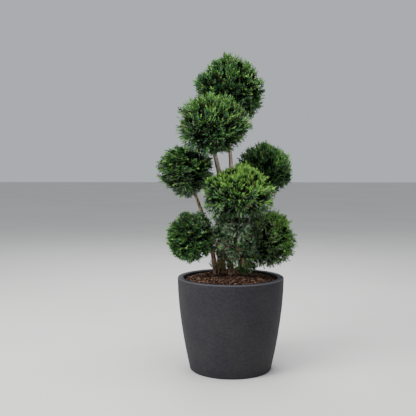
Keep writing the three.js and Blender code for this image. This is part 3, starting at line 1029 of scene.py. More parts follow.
def twig_mesh(a, b, c, foot, tip, sides, steps):
    """Corners and faces of many twigs of one make, along quadratic curves."""
    rings = []
    for k in range(steps + 1):
        t = k / steps
        points, heading = bezier(a, b, c, np.full(len(a), t))
        first = unit(np.cross(heading, OFF_TWIG))
        second = np.cross(heading, first)
        radius = foot + (tip - foot) * t
        for j in range(sides):
            angle = 2 * math.pi * j / sides
            rings.append(points + radius * (first * math.cos(angle) + second * math.sin(angle)))
    positions = np.stack(rings, axis=1).reshape(-1, 3)
    pattern = []
    for k in range(steps):
        for j in range(sides):
            low, high = k * sides, (k + 1) * sides
            after = (j + 1) % sides
            pattern += [[low + j, low + after, high + after], [low + j, high + after, high + j]]
    last = steps * sides
    for j in range(1, sides - 1):
        pattern += [[0, j + 1, j], [last, last + j, last + j + 1]]
    firsts = len(rings) * np.arange(len(a))[:, None, None]
    return positions, (np.array(pattern)[None] + firsts).reshape(-1, 3)


def nearest(directions, bearers):
    """For each direction, the bearer that points most nearly the same way."""
    return np.argmax(directions @ bearers.T, axis=1)


def room_for(mass, points, gap=SHARED_GAP):
    """Whether points are in a mass's own space: out of the clouds beside it and off the limbs."""
    own = share_of(mass, points) + gap
    free = np.ones(len(points), bool)
    for other in CLOUDS:
        if other is not mass:
            free &= share_of(other, points) > np.maximum(own, CORE_ROOM)
    for grown in LIMBS.values():
        for point, radius in zip(grown["run"][::LIMB_TEST_STEP], grown["radii"][::LIMB_TEST_STEP]):
            free &= np.linalg.norm(points - point, axis=1) > radius + LIMB_ROOM
    return free


def cloud_wood(mass):
    """A cloud's mesh of stem, branches, twigs and tufts, and the curved axes of its tufts and twigs."""
    bearer = LIMBS[next(each for each in STEMS + BOUGHS if each["into"] == mass["name"])["name"]]
    heart, seed = heart_of(mass), mass["seed"]
    tangent = unit(bearer["run"][-1] - bearer["run"][-3])
    start = bearer["run"][-1] - tangent * STEM_OVERLAP
    bend = start + tangent * STEM_RUN_ON * np.linalg.norm(heart - start)
    foot = bearer["radii"][-1]
    stem = [start[None], bend[None], heart[None]]
    parts = [twig_mesh(*stem, foot, STEM_TAPER * foot, sides=10, steps=8)]

    count = mass["shoots"]
    i = np.arange(count)
    heading, side, _, tip = shoot_runs(mass, count, 0)
    at = chance(seed, i, 11, *BRANCH_STARTS)
    branch_a = bezier(*stem, at)[0]
    branch_c = under_surface(mass, tip, BRANCH_DEPTH)
    branch_b = onward(branch_a, heading, branch_c, BRANCH_HOLD) + side * BRANCH_BOW
    parts.append(twig_mesh(branch_a, branch_b, branch_c, BRANCH_FOOT * foot, BRANCH_TIP, sides=6, steps=6))

    count *= BRANCH_TWIGS
    i = np.arange(count)
    twig_heading, _, twig_leant, twig_tip = shoot_runs(mass, count, 1)
    bearing = nearest(twig_heading, heading)
    at = chance(seed, i, 12, *TWIG_STARTS)
    twig_a, along = bezier(branch_a[bearing], branch_b[bearing], branch_c[bearing], at)
    twig_c = under_surface(mass, twig_tip, TWIG_DEPTH)
    twig_b = onward(twig_a, along, twig_c, TWIG_HOLD)
    parts.append(twig_mesh(twig_a, twig_b, twig_c, *TWIG_RADII, sides=4, steps=4))

    count = int(surface_of(mass) / (TUFT_SPACING * fineness(mass)) ** 2)
    i = np.arange(count)
    _, tuft_side, tuft_leant, _ = shoot_runs(mass, count, 2)
    bearing = nearest(tuft_leant, twig_leant)
    gathered = unit(tuft_leant + TUFT_GATHER * (twig_leant[bearing] - tuft_leant))
    tuft_tip = on_surface(mass, gathered, form(mass, gathered))
    at = chance(seed, i, 13, *TUFT_STARTS)
    tuft_a, along = bezier(twig_a[bearing], twig_b[bearing], twig_c[bearing], at)
    tuft_c = under_surface(mass, tuft_tip, TUFT_DEPTH * fineness(mass))
    tuft_b = onward(tuft_a, along, tuft_c, TUFT_HOLD)
    off_twig = np.linalg.norm(gathered - twig_leant[bearing], axis=1) * np.mean(mass["radii"])
    tufts = {"a": tuft_a, "b": tuft_b, "c": tuft_c, "side": tuft_side}
    tufts.update({"i": i, "twig": bearing, "off": off_twig})
    free = room_for(mass, tuft_tip)
    tufts = {key: values[free] for key, values in tufts.items()}
    parts.append(twig_mesh(tufts["a"], tufts["b"], tufts["c"], *TUFT_RADII, sides=3, steps=1))

    corners, faces = joined(parts)
    in_stem_bark = np.arange(len(faces)) < len(parts[0][1])
    twigs = {"a": twig_a, "b": twig_b, "c": twig_c, "heading": twig_heading}
    return (corners, faces, in_stem_bark), tufts, twigs


twig_bark = material_of(
    "twig bark",
    light=screen(98, 84, 64),
    dark=screen(54, 46, 35),
    fineness=150,
    roughness=0.85,
    specular=0.15,
    depth=0.4,
)
CLOUD_TUFTS, CLOUD_TWIGS = {}, {}
for mass in CLOUDS:
    wood, CLOUD_TUFTS[mass["name"]], CLOUD_TWIGS[mass["name"]] = cloud_wood(mass)
    piece = mesh_piece(f"{mass['name']}_twigs", *wood, smooth=True)
    piece.data.materials.append(twig_bark)
    piece.data.materials.append(stem_bark)
    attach(piece, "root")
    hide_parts(mass["name"])


# Clipped foliage
# Flat sprays of small scale leaves, several to a tuft, all cut back to the cloud's rounded surface. New
# tips are lime to fresh green, older leaves deep green, and the oldest, inside, dull and darkened as
# painted shade. A cloud's brighter side takes lighter tones, partly for fresh growth and partly as painted
# light.
# Some on a cloud's shaded side are greyed, and a few are spent and tan.

SPRAY_LENGTH = 26
SPRAY_LENGTHS = (0.8, 1.2)  # from the shortest to the longest, as shares of that
SHORTEST_SPRAY = 9
SPRAY_STRETCH = 1.25  # a spray grows on by up to this much where the shears don't reach it
SPRAY_SWING = (0.7, 1.3)
SPRAY_TILT = 0.35
SPRAY_ROLL = 1.1
SPRAY_BEND = 0.45
LITTLE_LIFT = 0.25
LEVEL_BEND = -0.3  # the sprays of a cloud with little lift bend up a little, not down
LIFT_LEVEL = 0.5
OVERGROWTH = 0.07
DROOP = 0.15
TWIG_UNEVENNESS = 0.155
CLEFT_DEPTH = 0.065
CLEFT_SPAN = 26
TUFT_UNEVENNESS = 0.03
SPRAY_UNEVENNESS = 0.06
STRAY_SHARE = 0.1
STRAY_LENGTH = 0.085
TUFT_TONE = 0.04  # how much lighter or darker than the rest a whole tuft, or a whole twig of them, is
TWIG_TONE = 0.04
LIGHT_TONE = 0.2
UNLIT_TIPS = 0.8
LIGHT_TIPS = 0.4
OPEN_TO_LIGHT = 0.95  # where a cloud's side is brighter than this, its tufts' first sprays get no painted shade
FIRST_SPRAYS = 2
DARK_GREY_SHARE = 0.3
BOX_MARGIN = 0.026  # how far past the solids' own box a spray may reach, as a share of that side
TUFT_SPRAYS = [
    # share of the tuft's axis, swing to the side, share of the spray's length
    (0.2, 0.8, 0.95),
    (0.4, -0.7, 1.0),
    (0.58, 0.6, 1.0),
    (0.74, -0.5, 1.05),
    (0.88, 0.42, 1.0),
    (1.0, -0.3, 0.9),
    (1.0, 0.1, 1.0),
]
OLD_SPRAY_SPACING = 17
OLD_SPRAY_LENGTH = 52
OLD_SPRAY_DEPTH = 38
OLD_SPRAY_DEPTHS = (0.7, 1.1)  # from the shallowest to the deepest tip, as shares of that
OLD_SPRAY_STARTS = (0.3, 0.8)
OLD_SPRAY_STRAY = 14
OLD_SPRAY_ROLL = 0.5
LEAF_TONES = [
    # a name, the light and the dark of its grain, its roughness and its gloss
    ("inner green with painted shade", (26, 36, 23), (15, 22, 14), 0.9, 0.05),
    ("deep green", (36, 62, 42), (21, 41, 29), 0.46, 0.32),
    ("mid green", (61, 107, 60), (41, 80, 46), 0.44, 0.38),
    ("fresh green", (100, 151, 78), (70, 120, 60), 0.44, 0.38),
    ("lime green", (149, 195, 86), (114, 160, 70), 0.46, 0.3),
    ("grey green", (94, 118, 92), (58, 80, 60), 0.5, 0.3),
    ("pale grey green", (152, 166, 138), (110, 128, 104), 0.5, 0.3),
    ("spent tan", (128, 100, 74), (88, 68, 50), 0.8, 0.15),
]
INNER_SHADE, DEEP, MIDDLE, FRESH, LIME, GREY, PALE, SPENT = range(len(LEAF_TONES))
OLDER_OR_SHADED = np.array([INNER_SHADE, INNER_SHADE, DEEP, MIDDLE, FRESH, DEEP, GREY, SPENT])  # each tone's own older, darker one, for older leaves and for painted shade
LEAF_MATERIALS = [
    material_of(
        name,
        screen(*light),
        screen(*dark),
        fineness=70,
        spread=0.18,
        roughness=rough,
        specular=gloss,
        depth=0.3,
    )
    for name, light, dark, rough, gloss in LEAF_TONES
]
CLOUD_TONES = {
    # shares of deep, mid, fresh and lime sprays; how many have brighter tips; the side whose tones are
    # lighter, partly for fresh growth and partly as painted light; the share of spent sprays; and the side
    # where shade greys them
    "cloud_top": ((0.23, 0.43, 0.29, 0.05), 0.32, (0.6, 0, 1.2), 0.003, (0, 0, -0.05)),
    "cloud_upper": ((0.27, 0.32, 0.29, 0.12), 0.5, (0.1, 0, 0.9), 0.003, (0, 0, -0.1)),
    "cloud_left": ((0.25, 0.3, 0.36, 0.09), 0.5, (0, 0, 0.2), 0.004, (0, 0, -0.3)),
    "cloud_right": ((0.46, 0.27, 0.24, 0.03), 0.45, (0.6, 0, 0.8), 0.002, (0, 0, -0.05)),
    "cloud_front": ((0.2, 0.17, 0.23, 0.4), 0.85, (0.35, 0, 2.3), 0.015, (0, 0, -0.2)),
    "cloud_low_left": ((0.25, 0.37, 0.34, 0.04), 0.36, (-0.2, 0, 0), 0.002, (0.1, 0, 0)),
    "cloud_low_right": ((0.04, 0.15, 0.52, 0.29), 0.6, (-0.7, -0.7, 1.3), 0.02, (-0.6, -0.2, -0.1)),
}
CLOUD_GROWTH = {
    # the size of its sprays, how much they turn up to the light and how much they lie level, and how
    # ragged the cloud is
    "cloud_top": (1.05, 0.85, 0, 1.1),
    "cloud_upper": (1.1, 0.7, 0.1, 1.15),
    "cloud_left": (1.3, 0.05, 0.65, 1.2),
    "cloud_right": (1.1, 0.8, 0, 1.2),
    "cloud_front": (1.15, 1.25, 0, 1.1),
    "cloud_low_left": (1, 0.15, 0.45, 0.9),
    "cloud_low_right": (1, 0.2, 0.35, 1.2),
}
BLADE_WIDEST = 0.48
BLADE_THICKNESS = 0.8
BLADE_FACES = ((0, 2, 1), (0, 1, 3), (0, 3, 2), (1, 2, 3))
BLADE_RISE = 0.06
FIRST_BLADE = 0.1
BLADE_SPAN = 0.66
BLADE_TAPER = 0.4
SWEEP_TAPER = 0.3
LEADER_WIDTH = 0.8
OLD_PART = 0.25  # up to where on a spray the blades take its older tone, and its own
OWN_PART = 0.5
OLD_PLACE, OWN_PLACE, TIP_PLACE = range(3)


def place_on_spray(at):
    """Which tone a blade takes, from where on its spray's middle it starts. The leader starts at 0."""
    if 0 < at < OLD_PART:
        return OLD_PLACE
    return OWN_PLACE if 0 < at < OWN_PART else TIP_PLACE


def spray_pattern(pairs, length, sweep, width, stagger):
    """One spray as closed blades of four faces, on a run of 1 along x: their corners, faces and places."""
    blades = [(0, (1, 0, 0), width * LEADER_WIDTH)]
    for k in range(pairs):
        for hand in (1, -1):
            at = FIRST_BLADE + BLADE_SPAN * (k + (stagger if hand < 0 else 0)) / pairs
            long = length * (1 - BLADE_TAPER * at)
            angle = sweep * (1 - SWEEP_TAPER * at)
            tip = (at + long * math.cos(angle), hand * long * math.sin(angle), BLADE_RISE * long)
            blades.append((at, tip, width))
    positions, faces, places = [], [], []
    for at, tip, wide in blades:
        start, tip = np.array([at, 0, 0], float), np.array(tip, float)
        across = unit(np.cross(UP, unit(tip - start))) * wide
        middle = start + BLADE_WIDEST * (tip - start)
        rise = np.array([0, 0, wide * BLADE_THICKNESS])
        faces += [[len(positions) + corner for corner in face] for face in BLADE_FACES]
        positions += [start, tip, middle + across - rise, middle - across - rise]
        places += [place_on_spray(at)] * len(BLADE_FACES)
    return np.array(positions), np.array(faces), np.array(places)


SPRAY_PATTERNS = [
    # pairs of side blades, their length, sweep and width, and how far those of one side are shifted on
    spray_pattern(2, 0.42, 0.5, 0.06, 0.5),
    spray_pattern(2, 0.38, 0.42, 0.062, 0.3),
    spray_pattern(2, 0.44, 0.56, 0.058, 0.5),
]
OLD_PATTERN = spray_pattern(2, 0.62, 0.85, 0.15, 0.5)


def spray_mesh(roots, tips, across, bend, tone, tip_tone, pattern):
    """Corners, faces and tones of many sprays of one pattern, each bent by a share of its length."""
    positions, faces, places = pattern
    along = tips - roots
    length = np.linalg.norm(along, axis=1)[:, None]
    along = along / length
    side = unit(across - along * np.sum(across * along, axis=1)[:, None])
    rise = np.cross(along, side)
    corners = roots[:, None]
    for axis, run in zip((along, side, rise), positions.T):
        corners = corners + (axis * length)[:, None] * run[None, :, None]
    x = positions[:, 0]
    corners = corners - (bend[:, None] * length * UP)[:, None] * (x * (1 - x))[None, :, None]
    own = faces[None] + len(positions) * np.arange(len(roots))[:, None, None]
    by_place = np.stack([OLDER_OR_SHADED[tone], tone, tip_tone], axis=1)
    return corners.reshape(-1, 3), own.reshape(-1, 3), by_place[:, places].ravel()


def with_tones(parts):
    """Many (corners, faces, tones) parts as one."""
    positions, faces = joined([(corners, faces) for corners, faces, _ in parts])
    return positions, faces, np.concatenate([tones for _, _, tones in parts])


def in_box(points):
    """Whether points keep to the solids' own box and its margin."""
    low, high = np.array(cad_box) / MM
    margin = BOX_MARGIN * (high - low)
    return np.all((points > low - margin) & (points < high + margin), axis=1)


def long_enough(roots, tips):
    """Whether enough is left of sprays for them to be kept."""
    return np.linalg.norm(tips - roots, axis=1) > SHORTEST_SPRAY


def clipped(mass, roots, course, length, fullness, stretch=SPRAY_STRETCH):
    """The tips of sprays that the shears stop at a share of the mass's reach."""
    inner, outer = depth_in(mass, roots), depth_in(mass, roots + course * length[:, None])
    share = np.where(outer > inner, (fullness - inner) / np.maximum(outer - inner, 1e-6), 1)
    return roots + course * (length * np.clip(share, 0, stretch))[:, None]


def square_to(heading, side):
    """What is left of side directions square to the headings, and the directions square to both."""
    flat = unit(side - heading * np.sum(side * heading, axis=1)[:, None])
    return flat, np.cross(heading, flat)


def tuft_fullness(mass, tufts, ragged):
    """How far each tuft grows, as a share of the mass's reach. Whole twigs differ, with clefts between."""
    seed = mass["seed"]
    uneven = ragged * TWIG_UNEVENNESS * chance(seed, tufts["twig"], 17)
    uneven = uneven + TUFT_UNEVENNESS * chance(seed, tufts["i"], 15)
    uneven += CLEFT_DEPTH * np.minimum(tufts["off"] / CLEFT_SPAN, 1) ** 2
    return (1 + OVERGROWTH - uneven) * form(mass, facing_of(mass, tufts["c"]))


def dealt_tones(mass, i, turn, tips, tuft_tone, first, draw):
    """Each spray's tone and its tips': by chance, by the light on its side of the cloud, and by shade."""
    shares, bright_tips, fresh_growth_and_lit_side, spent_share, grey_side = CLOUD_TONES[mass["name"]]
    seed, facing = mass["seed"], facing_of(mass, tips)
    # painted light: tones are lighter towards the given side, partly for fresh growth there
    light = facing @ np.array(fresh_growth_and_lit_side, float)
    level = chance(seed, i, turn + 5) + LIGHT_TONE * light + tuft_tone
    tone = DEEP + np.searchsorted(np.cumsum(shares)[:-1], level)
    brighter = chance(seed, i, turn + 6) < bright_tips * (UNLIT_TIPS + LIGHT_TIPS * light)
    tip_tone = np.minimum(tone + brighter, LIME)
    tone = np.minimum(tone, FRESH)  # only the tips are lime
    # painted shade: a tuft's first sprays take older, darker tones unless its side of the cloud faces the
    # light
    painted_shade = first & (light < OPEN_TO_LIGHT)
    shade = facing @ np.array(grey_side, float) + np.linalg.norm(grey_side) / 2
    greyed = chance(seed, i, turn + 7) > 1 - shade
    grey_tone = np.where(draw < DARK_GREY_SHARE, GREY, PALE)
    spent = chance(seed, i, turn + 7) < spent_share
    dealt = []
    for own in (tone, tip_tone):
        own = np.where(painted_shade, OLDER_OR_SHADED[own], own)
        own = np.where(greyed, grey_tone, own)
        dealt.append(np.where(spent, SPENT, own))
    return dealt


def tuft_sprays(mass):
    """The sprays of a cloud's tufts, part by part: each place on the tuft, and each pattern."""
    size, turn_up, levelness, ragged = CLOUD_GROWTH[mass["name"]]
    tufts, seed = CLOUD_TUFTS[mass["name"]], mass["seed"]
    i = tufts["i"]
    levelling = np.array([1, 1, 1 - levelness])
    fullest = tuft_fullness(mass, tufts, ragged)
    tuft_tone = chance(seed, i, 16, -TUFT_TONE, TUFT_TONE)
    tuft_tone = tuft_tone + chance(seed, tufts["twig"], 18, -TWIG_TONE, TWIG_TONE)
    high = facing_of(mass, tufts["c"])[:, 2]
    lift = (turn_up * np.clip(LIFT_LEVEL + high, 0, 1) - DROOP * np.clip(-high, 0, 1))[:, None]
    bend_way = 1 if turn_up > LITTLE_LIFT else LEVEL_BEND
    parts = []
    for number, (at, swing, long) in enumerate(TUFT_SPRAYS):
        turn = 20 + 8 * number
        roots, heading = bezier(tufts["a"], tufts["b"], tufts["c"], np.full(len(i), at))
        flat, normal = square_to(heading, tufts["side"])
        angle = (swing * chance(seed, i, turn, *SPRAY_SWING))[:, None]
        tilt = chance(seed, i, turn + 1, -SPRAY_TILT, SPRAY_TILT)[:, None]
        course = unit(swung(heading, flat, angle) + normal * tilt + UP * lift)
        course = unit(course * levelling)
        length = SPRAY_LENGTH * fineness(mass) * size * long
        length = length * chance(seed, i, turn + 2, *SPRAY_LENGTHS)
        draw = chance(seed, i, turn + 3)
        fullness = fullest - ragged * (SPRAY_UNEVENNESS * draw - STRAY_LENGTH * (draw < STRAY_SHARE))
        tips = clipped(mass, roots, course, length, fullness)
        roll = chance(seed, i, turn + 4, -SPRAY_ROLL, SPRAY_ROLL)[:, None]
        across = swung(flat, normal, roll) * levelling
        tones = dealt_tones(mass, i, turn, tips, tuft_tone, number < FIRST_SPRAYS, draw)
        bend = SPRAY_BEND * bend_way * chance(seed, i, turn + 6)
        keep = room_for(mass, tips) & in_box(tips) & long_enough(roots, tips)
        for which, pattern in enumerate(SPRAY_PATTERNS):
            own = keep & ((i + number) % len(SPRAY_PATTERNS) == which)
            parts.append(spray_mesh(*[each[own] for each in (roots, tips, across, bend, *tones)], pattern))
    return parts


def old_sprays(mass):
    """A cloud's broad old sprays further in, dull and near black as painted shade, which stop the view
    through it.
    """
    twigs, seed = CLOUD_TWIGS[mass["name"]], mass["seed"]
    i = np.arange(int(surface_of(mass) / OLD_SPRAY_SPACING**2))
    heading = spread(len(i), seed + 5)
    bearing = nearest(heading, twigs["heading"])
    roots = bezier(*[twigs[key][bearing] for key in "abc"], chance(seed, i, 90, *OLD_SPRAY_STARTS))[0]
    aim = under_surface(mass, on_surface(mass, heading), OLD_SPRAY_DEPTH)
    course = unit(aim - roots + OLD_SPRAY_STRAY * side_directions(seed, i, heading, 91))
    length = OLD_SPRAY_LENGTH * chance(seed, i, 92, *SPRAY_LENGTHS)
    fullness = 1 - OLD_SPRAY_DEPTH / reach(mass, heading) * chance(seed, i, 93, *OLD_SPRAY_DEPTHS)
    tips = clipped(mass, roots, course, length, fullness)
    across = np.cross(course, heading) + OLD_SPRAY_ROLL * side_directions(seed, i, heading, 94)
    keep = room_for(mass, tips) & long_enough(roots, tips)
    tone = np.full(keep.sum(), INNER_SHADE)
    return spray_mesh(roots[keep], tips[keep], across[keep], np.zeros(len(tone)), tone, tone, OLD_PATTERN)


for mass in CLOUDS:
    piece = mesh_piece(f"{mass['name']}_sprays", *with_tones([*tuft_sprays(mass), old_sprays(mass)]))
    for material in LEAF_MATERIALS:
        piece.data.materials.append(material)
    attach(piece, "root")
    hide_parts(mass["name"])


# Loose inner growth
# Unclipped shoots in the shade between the low clouds, and a small tuft low on the right bough. Their
# pale twigs show between thin, greyer sprays, and the background shows through.

LOOSE_ORIGINS = {"inner_growth": ("stem_right", 0.2), "low_tuft": ("bough_low_right", 0.6)}
LOOSE_STEM_SHARE = 0.4
LOOSE_STEM_SAG = 0.1
LEADER_RISE = 0.45
LEADER_BOW = [5, 3, 0]
LEADER_RADII = (3.0, 1.6)
LEVEL_TWIG_START = 0.3  # where on the leader a level twig starts, and the last one, as shares of it
LAST_TWIG_START = 0.95
LOOSE_TWIG_RUN = 0.8
LOOSE_TWIG_BOW = 6
LOOSE_TWIG_SAG = 5
LOOSE_TWIG_RADII = (2.2, 1.0)
TWIGLETS = {"inner_growth": 46, "low_tuft": 40}  # to each twig
TWIGLET_STARTS = (0.15, 0.97)
TWIGLET_SHIFT = 0.6
TWIGLET_ONWARD = 0.6
TWIGLET_ASIDE = 0.8
TWIGLET_RISE = 0.1
TWIGLET_LENGTHS = (0.3, 0.7)  # as shares of the mass's mean radius
TWIGLET_REACH = 0.98
TWIGLET_RADII = (1.1, 0.6)
LOOSE_SPRAY_LENGTH = 37
LOOSE_LENGTHS = (0.75, 1.25)
LOOSE_SWING = (0.75, 1.25)
LOOSE_BEND = 0.3
LOOSE_REACH = 1.1
LOOSE_WANDER = 0.5
LOOSE_LIFT = 0.3
SHADED_SPRAYS = 1  # the sprays nearest a twiglet's root take the dull inner tone as painted shade
LOOSE_MINGLING = -0.08  # how far its sprays reach in among those of the clouds beside it
LOOSE_TONES = {
    # the share of the sprays up to each tone
    "inner_growth": [(0.05, SPENT), (0.25, DEEP), (0.36, MIDDLE), (0.47, FRESH), (0.68, GREY), (1, PALE)],
    "low_tuft": [(0.08, MIDDLE), (0.28, PALE), (0.6, FRESH), (1, LIME)],
    "foot_sprouts": [(0.2, FRESH), (0.9, LIME), (1, PALE)],
}
PAINTED_LIGHT_RISE = 0.5  # painted light: how much further up its row of tones, towards the lighter ones, a growth's top is than its foot
LOOSE_SPRAYS = [
    # share of the twiglet's axis, swing to the side, share of the spray's length
    (0.2, 0.8, 1.0),
    (0.35, -0.7, 1.05),
    (0.5, 0.6, 1.0),
    (0.66, -0.6, 1.0),
    (0.83, 0.5, 0.95),
    (1.0, -0.1, 1.0),
]

bare_bark = material_of(
    "bare twig bark",
    light=screen(184, 161, 146),
    dark=screen(108, 86, 74),
    fineness=120,
    roughness=0.8,
    specular=0.15,
    depth=0.3,
)


def loose_sprays(name, seed, a, b, c, size):
    """The thin sprays along curved twiglets, one set for each place on them, with all that shapes them."""
    i = np.arange(len(a))
    side = side_directions(seed, i, unit(c - a), 34)
    rise = (c[:, 2] - np.mean(c[:, 2])) / np.ptp(c[:, 2])
    shares, tones = np.array(LOOSE_TONES[name]).T
    for number, (at, swing, long) in enumerate(LOOSE_SPRAYS):
        turn = 40 + 7 * number
        roots, heading = bezier(a, b, c, np.full(len(a), at))
        flat, normal = square_to(heading, side)
        angle = (swing * chance(seed, i, turn, *LOOSE_SWING))[:, None]
        stray = LOOSE_WANDER * side_directions(seed, i, heading, turn + 5)
        course = unit(swung(heading, flat, angle) + stray + UP * LOOSE_LIFT)
        length = size * long * chance(seed, i, turn + 1, *LOOSE_LENGTHS)
        roll = chance(seed, i, turn + 2, -1, 1)[:, None]
        across = swung(flat, normal, roll)
        draw = chance(seed, i, turn + 3)
        # painted light: sprays higher in the growth take lighter tones
        tone = tones.astype(int)[np.searchsorted(shares, np.clip(draw + PAINTED_LIGHT_RISE * rise, 0, 1))]
        if number < SHADED_SPRAYS:
            tone = np.full(len(a), INNER_SHADE)
        pattern = SPRAY_PATTERNS[number % len(SPRAY_PATTERNS)]
        yield roots, course, length, across, LOOSE_BEND * draw, tone, pattern


def loose_growth(mass):
    """The wood and the sprays of loose growth: a stem and its leader, twigs, twiglets and their sprays."""
    seed, heart = mass["seed"], heart_of(mass)
    bearer, at = LOOSE_ORIGINS[mass["name"]]
    start, bearer_radius = at_share(LIMBS[bearer], at)
    bend = (start + heart) / 2 - UP * LOOSE_STEM_SAG * mass["radii"][2]
    foot = LOOSE_STEM_SHARE * bearer_radius
    stem = [start[None], bend[None], heart[None]]
    top = centre_of(mass) + UP * LEADER_RISE * mass["radii"][2]
    leader = [heart[None], ((heart + top) / 2 + LEADER_BOW)[None], top[None]]
    wood = [twig_mesh(*stem, foot, STEM_TAPER * foot, sides=8, steps=8)]
    wood.append(twig_mesh(*leader, *LEADER_RADII, sides=6, steps=6))

    count = mass["shoots"]
    heading, side, _, tip = shoot_runs(mass, count, 0)
    at = np.clip(LEVEL_TWIG_START + heading[:, 2] / 2, 0, LAST_TWIG_START)
    twig_a = bezier(*leader, at)[0]
    twig_c = twig_a + LOOSE_TWIG_RUN * (tip - twig_a)
    twig_b = (twig_a + twig_c) / 2 + side * LOOSE_TWIG_BOW - UP * LOOSE_TWIG_SAG
    wood.append(twig_mesh(twig_a, twig_b, twig_c, *LOOSE_TWIG_RADII, sides=5, steps=5))

    per_twig = TWIGLETS[mass["name"]]
    i = np.arange(count * per_twig)
    bearing = i // per_twig
    first_at, last_at = TWIGLET_STARTS
    place = i % per_twig + chance(seed, i, 31, 0, TWIGLET_SHIFT)
    at = first_at + (last_at - first_at) * place / per_twig
    a, along = bezier(twig_a[bearing], twig_b[bearing], twig_c[bearing], at)
    length = np.mean(mass["radii"]) * chance(seed, i, 33, *TWIGLET_LENGTHS)
    aside = side_directions(seed, i, along, 32)
    course = unit(along * TWIGLET_ONWARD + aside * TWIGLET_ASIDE + UP * TWIGLET_RISE)
    c = a + course * length[:, None]
    furthest = TWIGLET_REACH * form(mass, facing_of(mass, c))
    over = np.maximum(depth_in(mass, c), furthest) / furthest
    c = centre_of(mass) + (c - centre_of(mass)) / over[:, None]
    b = a + TWIG_HOLD * along * length[:, None]
    wood.append(twig_mesh(a, b, c, *TWIGLET_RADII, sides=3, steps=3))

    parts = []
    furthest = LOOSE_REACH * form(mass, facing_of(mass, c))
    for spray in loose_sprays(mass["name"], seed, a, b, c, LOOSE_SPRAY_LENGTH):
        roots, course, length, across, bend, tone, pattern = spray
        tips = clipped(mass, roots, course, length, furthest, stretch=1)
        keep = room_for(mass, tips, LOOSE_MINGLING) & long_enough(roots, tips)
        kept = [each[keep] for each in (roots, tips, across, bend, tone, tone)]
        parts.append(spray_mesh(*kept, pattern))
    return joined(wood), with_tones(parts)


def loose_pieces(name, wood, sprays, node=None):
    """The two pieces of some loose growth. They stand for its node, if it has one."""
    for kind, made, materials, slot in (
        ("twigs", wood, [bare_bark], "bark"),
        ("sprays", sprays, LEAF_MATERIALS, "inner_foliage"),
    ):
        piece = mesh_piece(f"{name}_{kind}", *made)
        for material in materials:
            piece.data.materials.append(material)
        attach(piece, "root")
        if node:
            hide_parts(node)


for mass in LOOSE_GROWTH:
    loose_pieces(mass["name"], *loose_growth(mass), node=mass["name"])


# Sprouts at the feet
# Short green shoots that spring from the old bark just over the ground, mostly between the stems,
# where the shears don't reach.

SPROUT_SEED = 17
SPROUT_LEVELS = (6, 40)
SPROUT_LENGTH = 32
SPROUT_LENGTHS = (0.6, 1.2)
SPROUT_SPRAY_LENGTH = 20
SPROUT_ASIDE = (0.25, 0.6)
SPROUT_RISE = 0.8
SPROUT_HOLD = 0.45
SPROUTS = [
    # the stem that bears the shoots, how many, and the side that they turn to
    ("stem_left", 4, (0.8, -0.6, 0)),
    ("stem_back", 3, (0.4, -1.0, 0)),
    ("stem_right", 4, (-0.9, -0.5, 0)),
    ("stem_left", 2, (-0.9, -0.3, 0)),
    ("stem_right", 3, (0.7, -0.7, 0)),
]


def sprout_feet():
    """Where each sprout leaves its stem, and the side that it turns to. Those of a row fan out."""
    roots, sides = [], []
    for bearer, count, side in SPROUTS:
        for number in range(count):
            level = float(chance(SPROUT_SEED, len(roots), 1, *SPROUT_LEVELS))
            point, bearer_radius = at_share(LIMBS[bearer], (BURIED + level) / LIMBS[bearer]["length"])
            fan = np.array([-side[1], side[0], 0]) * (number / max(count - 1, 1) - 0.5)
            sides.append(unit(np.array(side) + fan))
            roots.append(point + sides[-1] * bearer_radius)
    return np.array(roots), np.array(sides)


sprout_a, sprout_side = sprout_feet()
sprout_i = np.arange(len(sprout_a))
sprout_long = (SPROUT_LENGTH * chance(SPROUT_SEED, sprout_i, 2, *SPROUT_LENGTHS))[:, None]
sprout_aside = chance(SPROUT_SEED, sprout_i, 3, *SPROUT_ASIDE)[:, None]
sprout_b = sprout_a + sprout_side * SPROUT_HOLD * sprout_long
sprout_c = sprout_a + (sprout_side * sprout_aside + UP) * sprout_long * SPROUT_RISE
sprout_wood = twig_mesh(sprout_a, sprout_b, sprout_c, *TWIGLET_RADII, sides=4, steps=4)
sprout_parts = []
for spray in loose_sprays("foot_sprouts", SPROUT_SEED, sprout_a, sprout_b, sprout_c, SPROUT_SPRAY_LENGTH):
    roots, course, length, across, bend, tone, pattern = spray
    tips = roots + course * length[:, None]
    sprout_parts.append(spray_mesh(roots, tips, across, bend, tone, tone, pattern))
loose_pieces("foot_sprouts", sprout_wood, with_tones(sprout_parts))


# Studio
# A plain pale floor in soft light, as under a bright overcast sky: a broad light from the front left,
# one overhead and a weak one from behind. The camera stands where the photograph was taken from,
# turned a little left and tilted a little down.

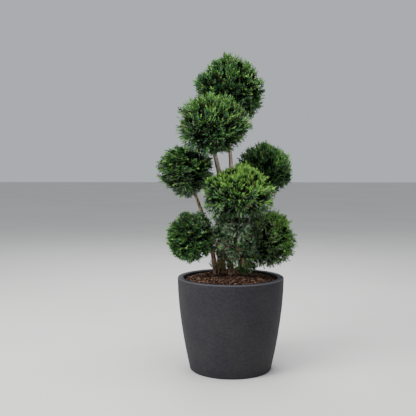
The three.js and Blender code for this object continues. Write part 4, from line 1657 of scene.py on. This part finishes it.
CAMERA_PLACE = (0, -3.017, 0.912)
CAMERA_PITCH = 0.0653
CAMERA_YAW = 0.0333
FOCAL_PIXELS = 684.8
PICTURE_PIXELS = 416
SENSOR = 36
FLOOR_HALF = 30
SOFT_LIGHTS = [
    # a name, its place and its side in metres, and its power in watts
    ("sky_light", (-2.3, -2.0, 3.2), 2.0, 180),
    ("top_light", (0.2, -0.2, 4.2), 2.2, 144),
    ("back_light", (-0.4, 2.8, 3.6), 2.2, 90),
]
LIGHTS_AIM = (0, 0, 0.7)
SKY_COLOUR = (0.9, 0.95, 1, 1)
SKY_STRENGTH = 0.56

floor_mesh = bpy.data.meshes.new("floor")
floor_corners = [(x * FLOOR_HALF, y * FLOOR_HALF, 0) for x, y in ((-1, -1), (1, -1), (1, 1), (-1, 1))]
floor_mesh.from_pydata(floor_corners, [], [(0, 1, 2, 3)])
floor = bpy.data.objects.new("floor", floor_mesh)
bpy.context.scene.collection.objects.link(floor)
pale_floor = material_of(
    "pale floor", screen(214, 213, 210), screen(206, 205, 202), fineness=0.6, roughness=0.9, specular=0.1
)
floor_mesh.materials.append(pale_floor)

for name, place, side, power in SOFT_LIGHTS:
    light_data = bpy.data.lights.new(name, "AREA")
    light_data.shape = "SQUARE"
    light_data.size = side
    light_data.energy = power
    lamp = bpy.data.objects.new(name, light_data)
    lamp.location = place
    lamp.rotation_euler = (Vector(LIGHTS_AIM) - Vector(place)).to_track_quat("-Z", "Y").to_euler()
    bpy.context.scene.collection.objects.link(lamp)

world = bpy.data.worlds.new("studio")
world.use_nodes = True
world.node_tree.nodes["Background"].inputs["Color"].default_value = SKY_COLOUR
world.node_tree.nodes["Background"].inputs["Strength"].default_value = SKY_STRENGTH
bpy.context.scene.world = world

camera_data = bpy.data.cameras.new("camera")
camera_data.sensor_width = SENSOR
camera_data.lens = FOCAL_PIXELS / PICTURE_PIXELS * SENSOR
camera = bpy.data.objects.new("camera", camera_data)
camera.location = CAMERA_PLACE
camera.rotation_euler = (math.pi / 2 - CAMERA_PITCH, 0, CAMERA_YAW)
bpy.context.scene.collection.objects.link(camera)
bpy.context.scene.camera = camera
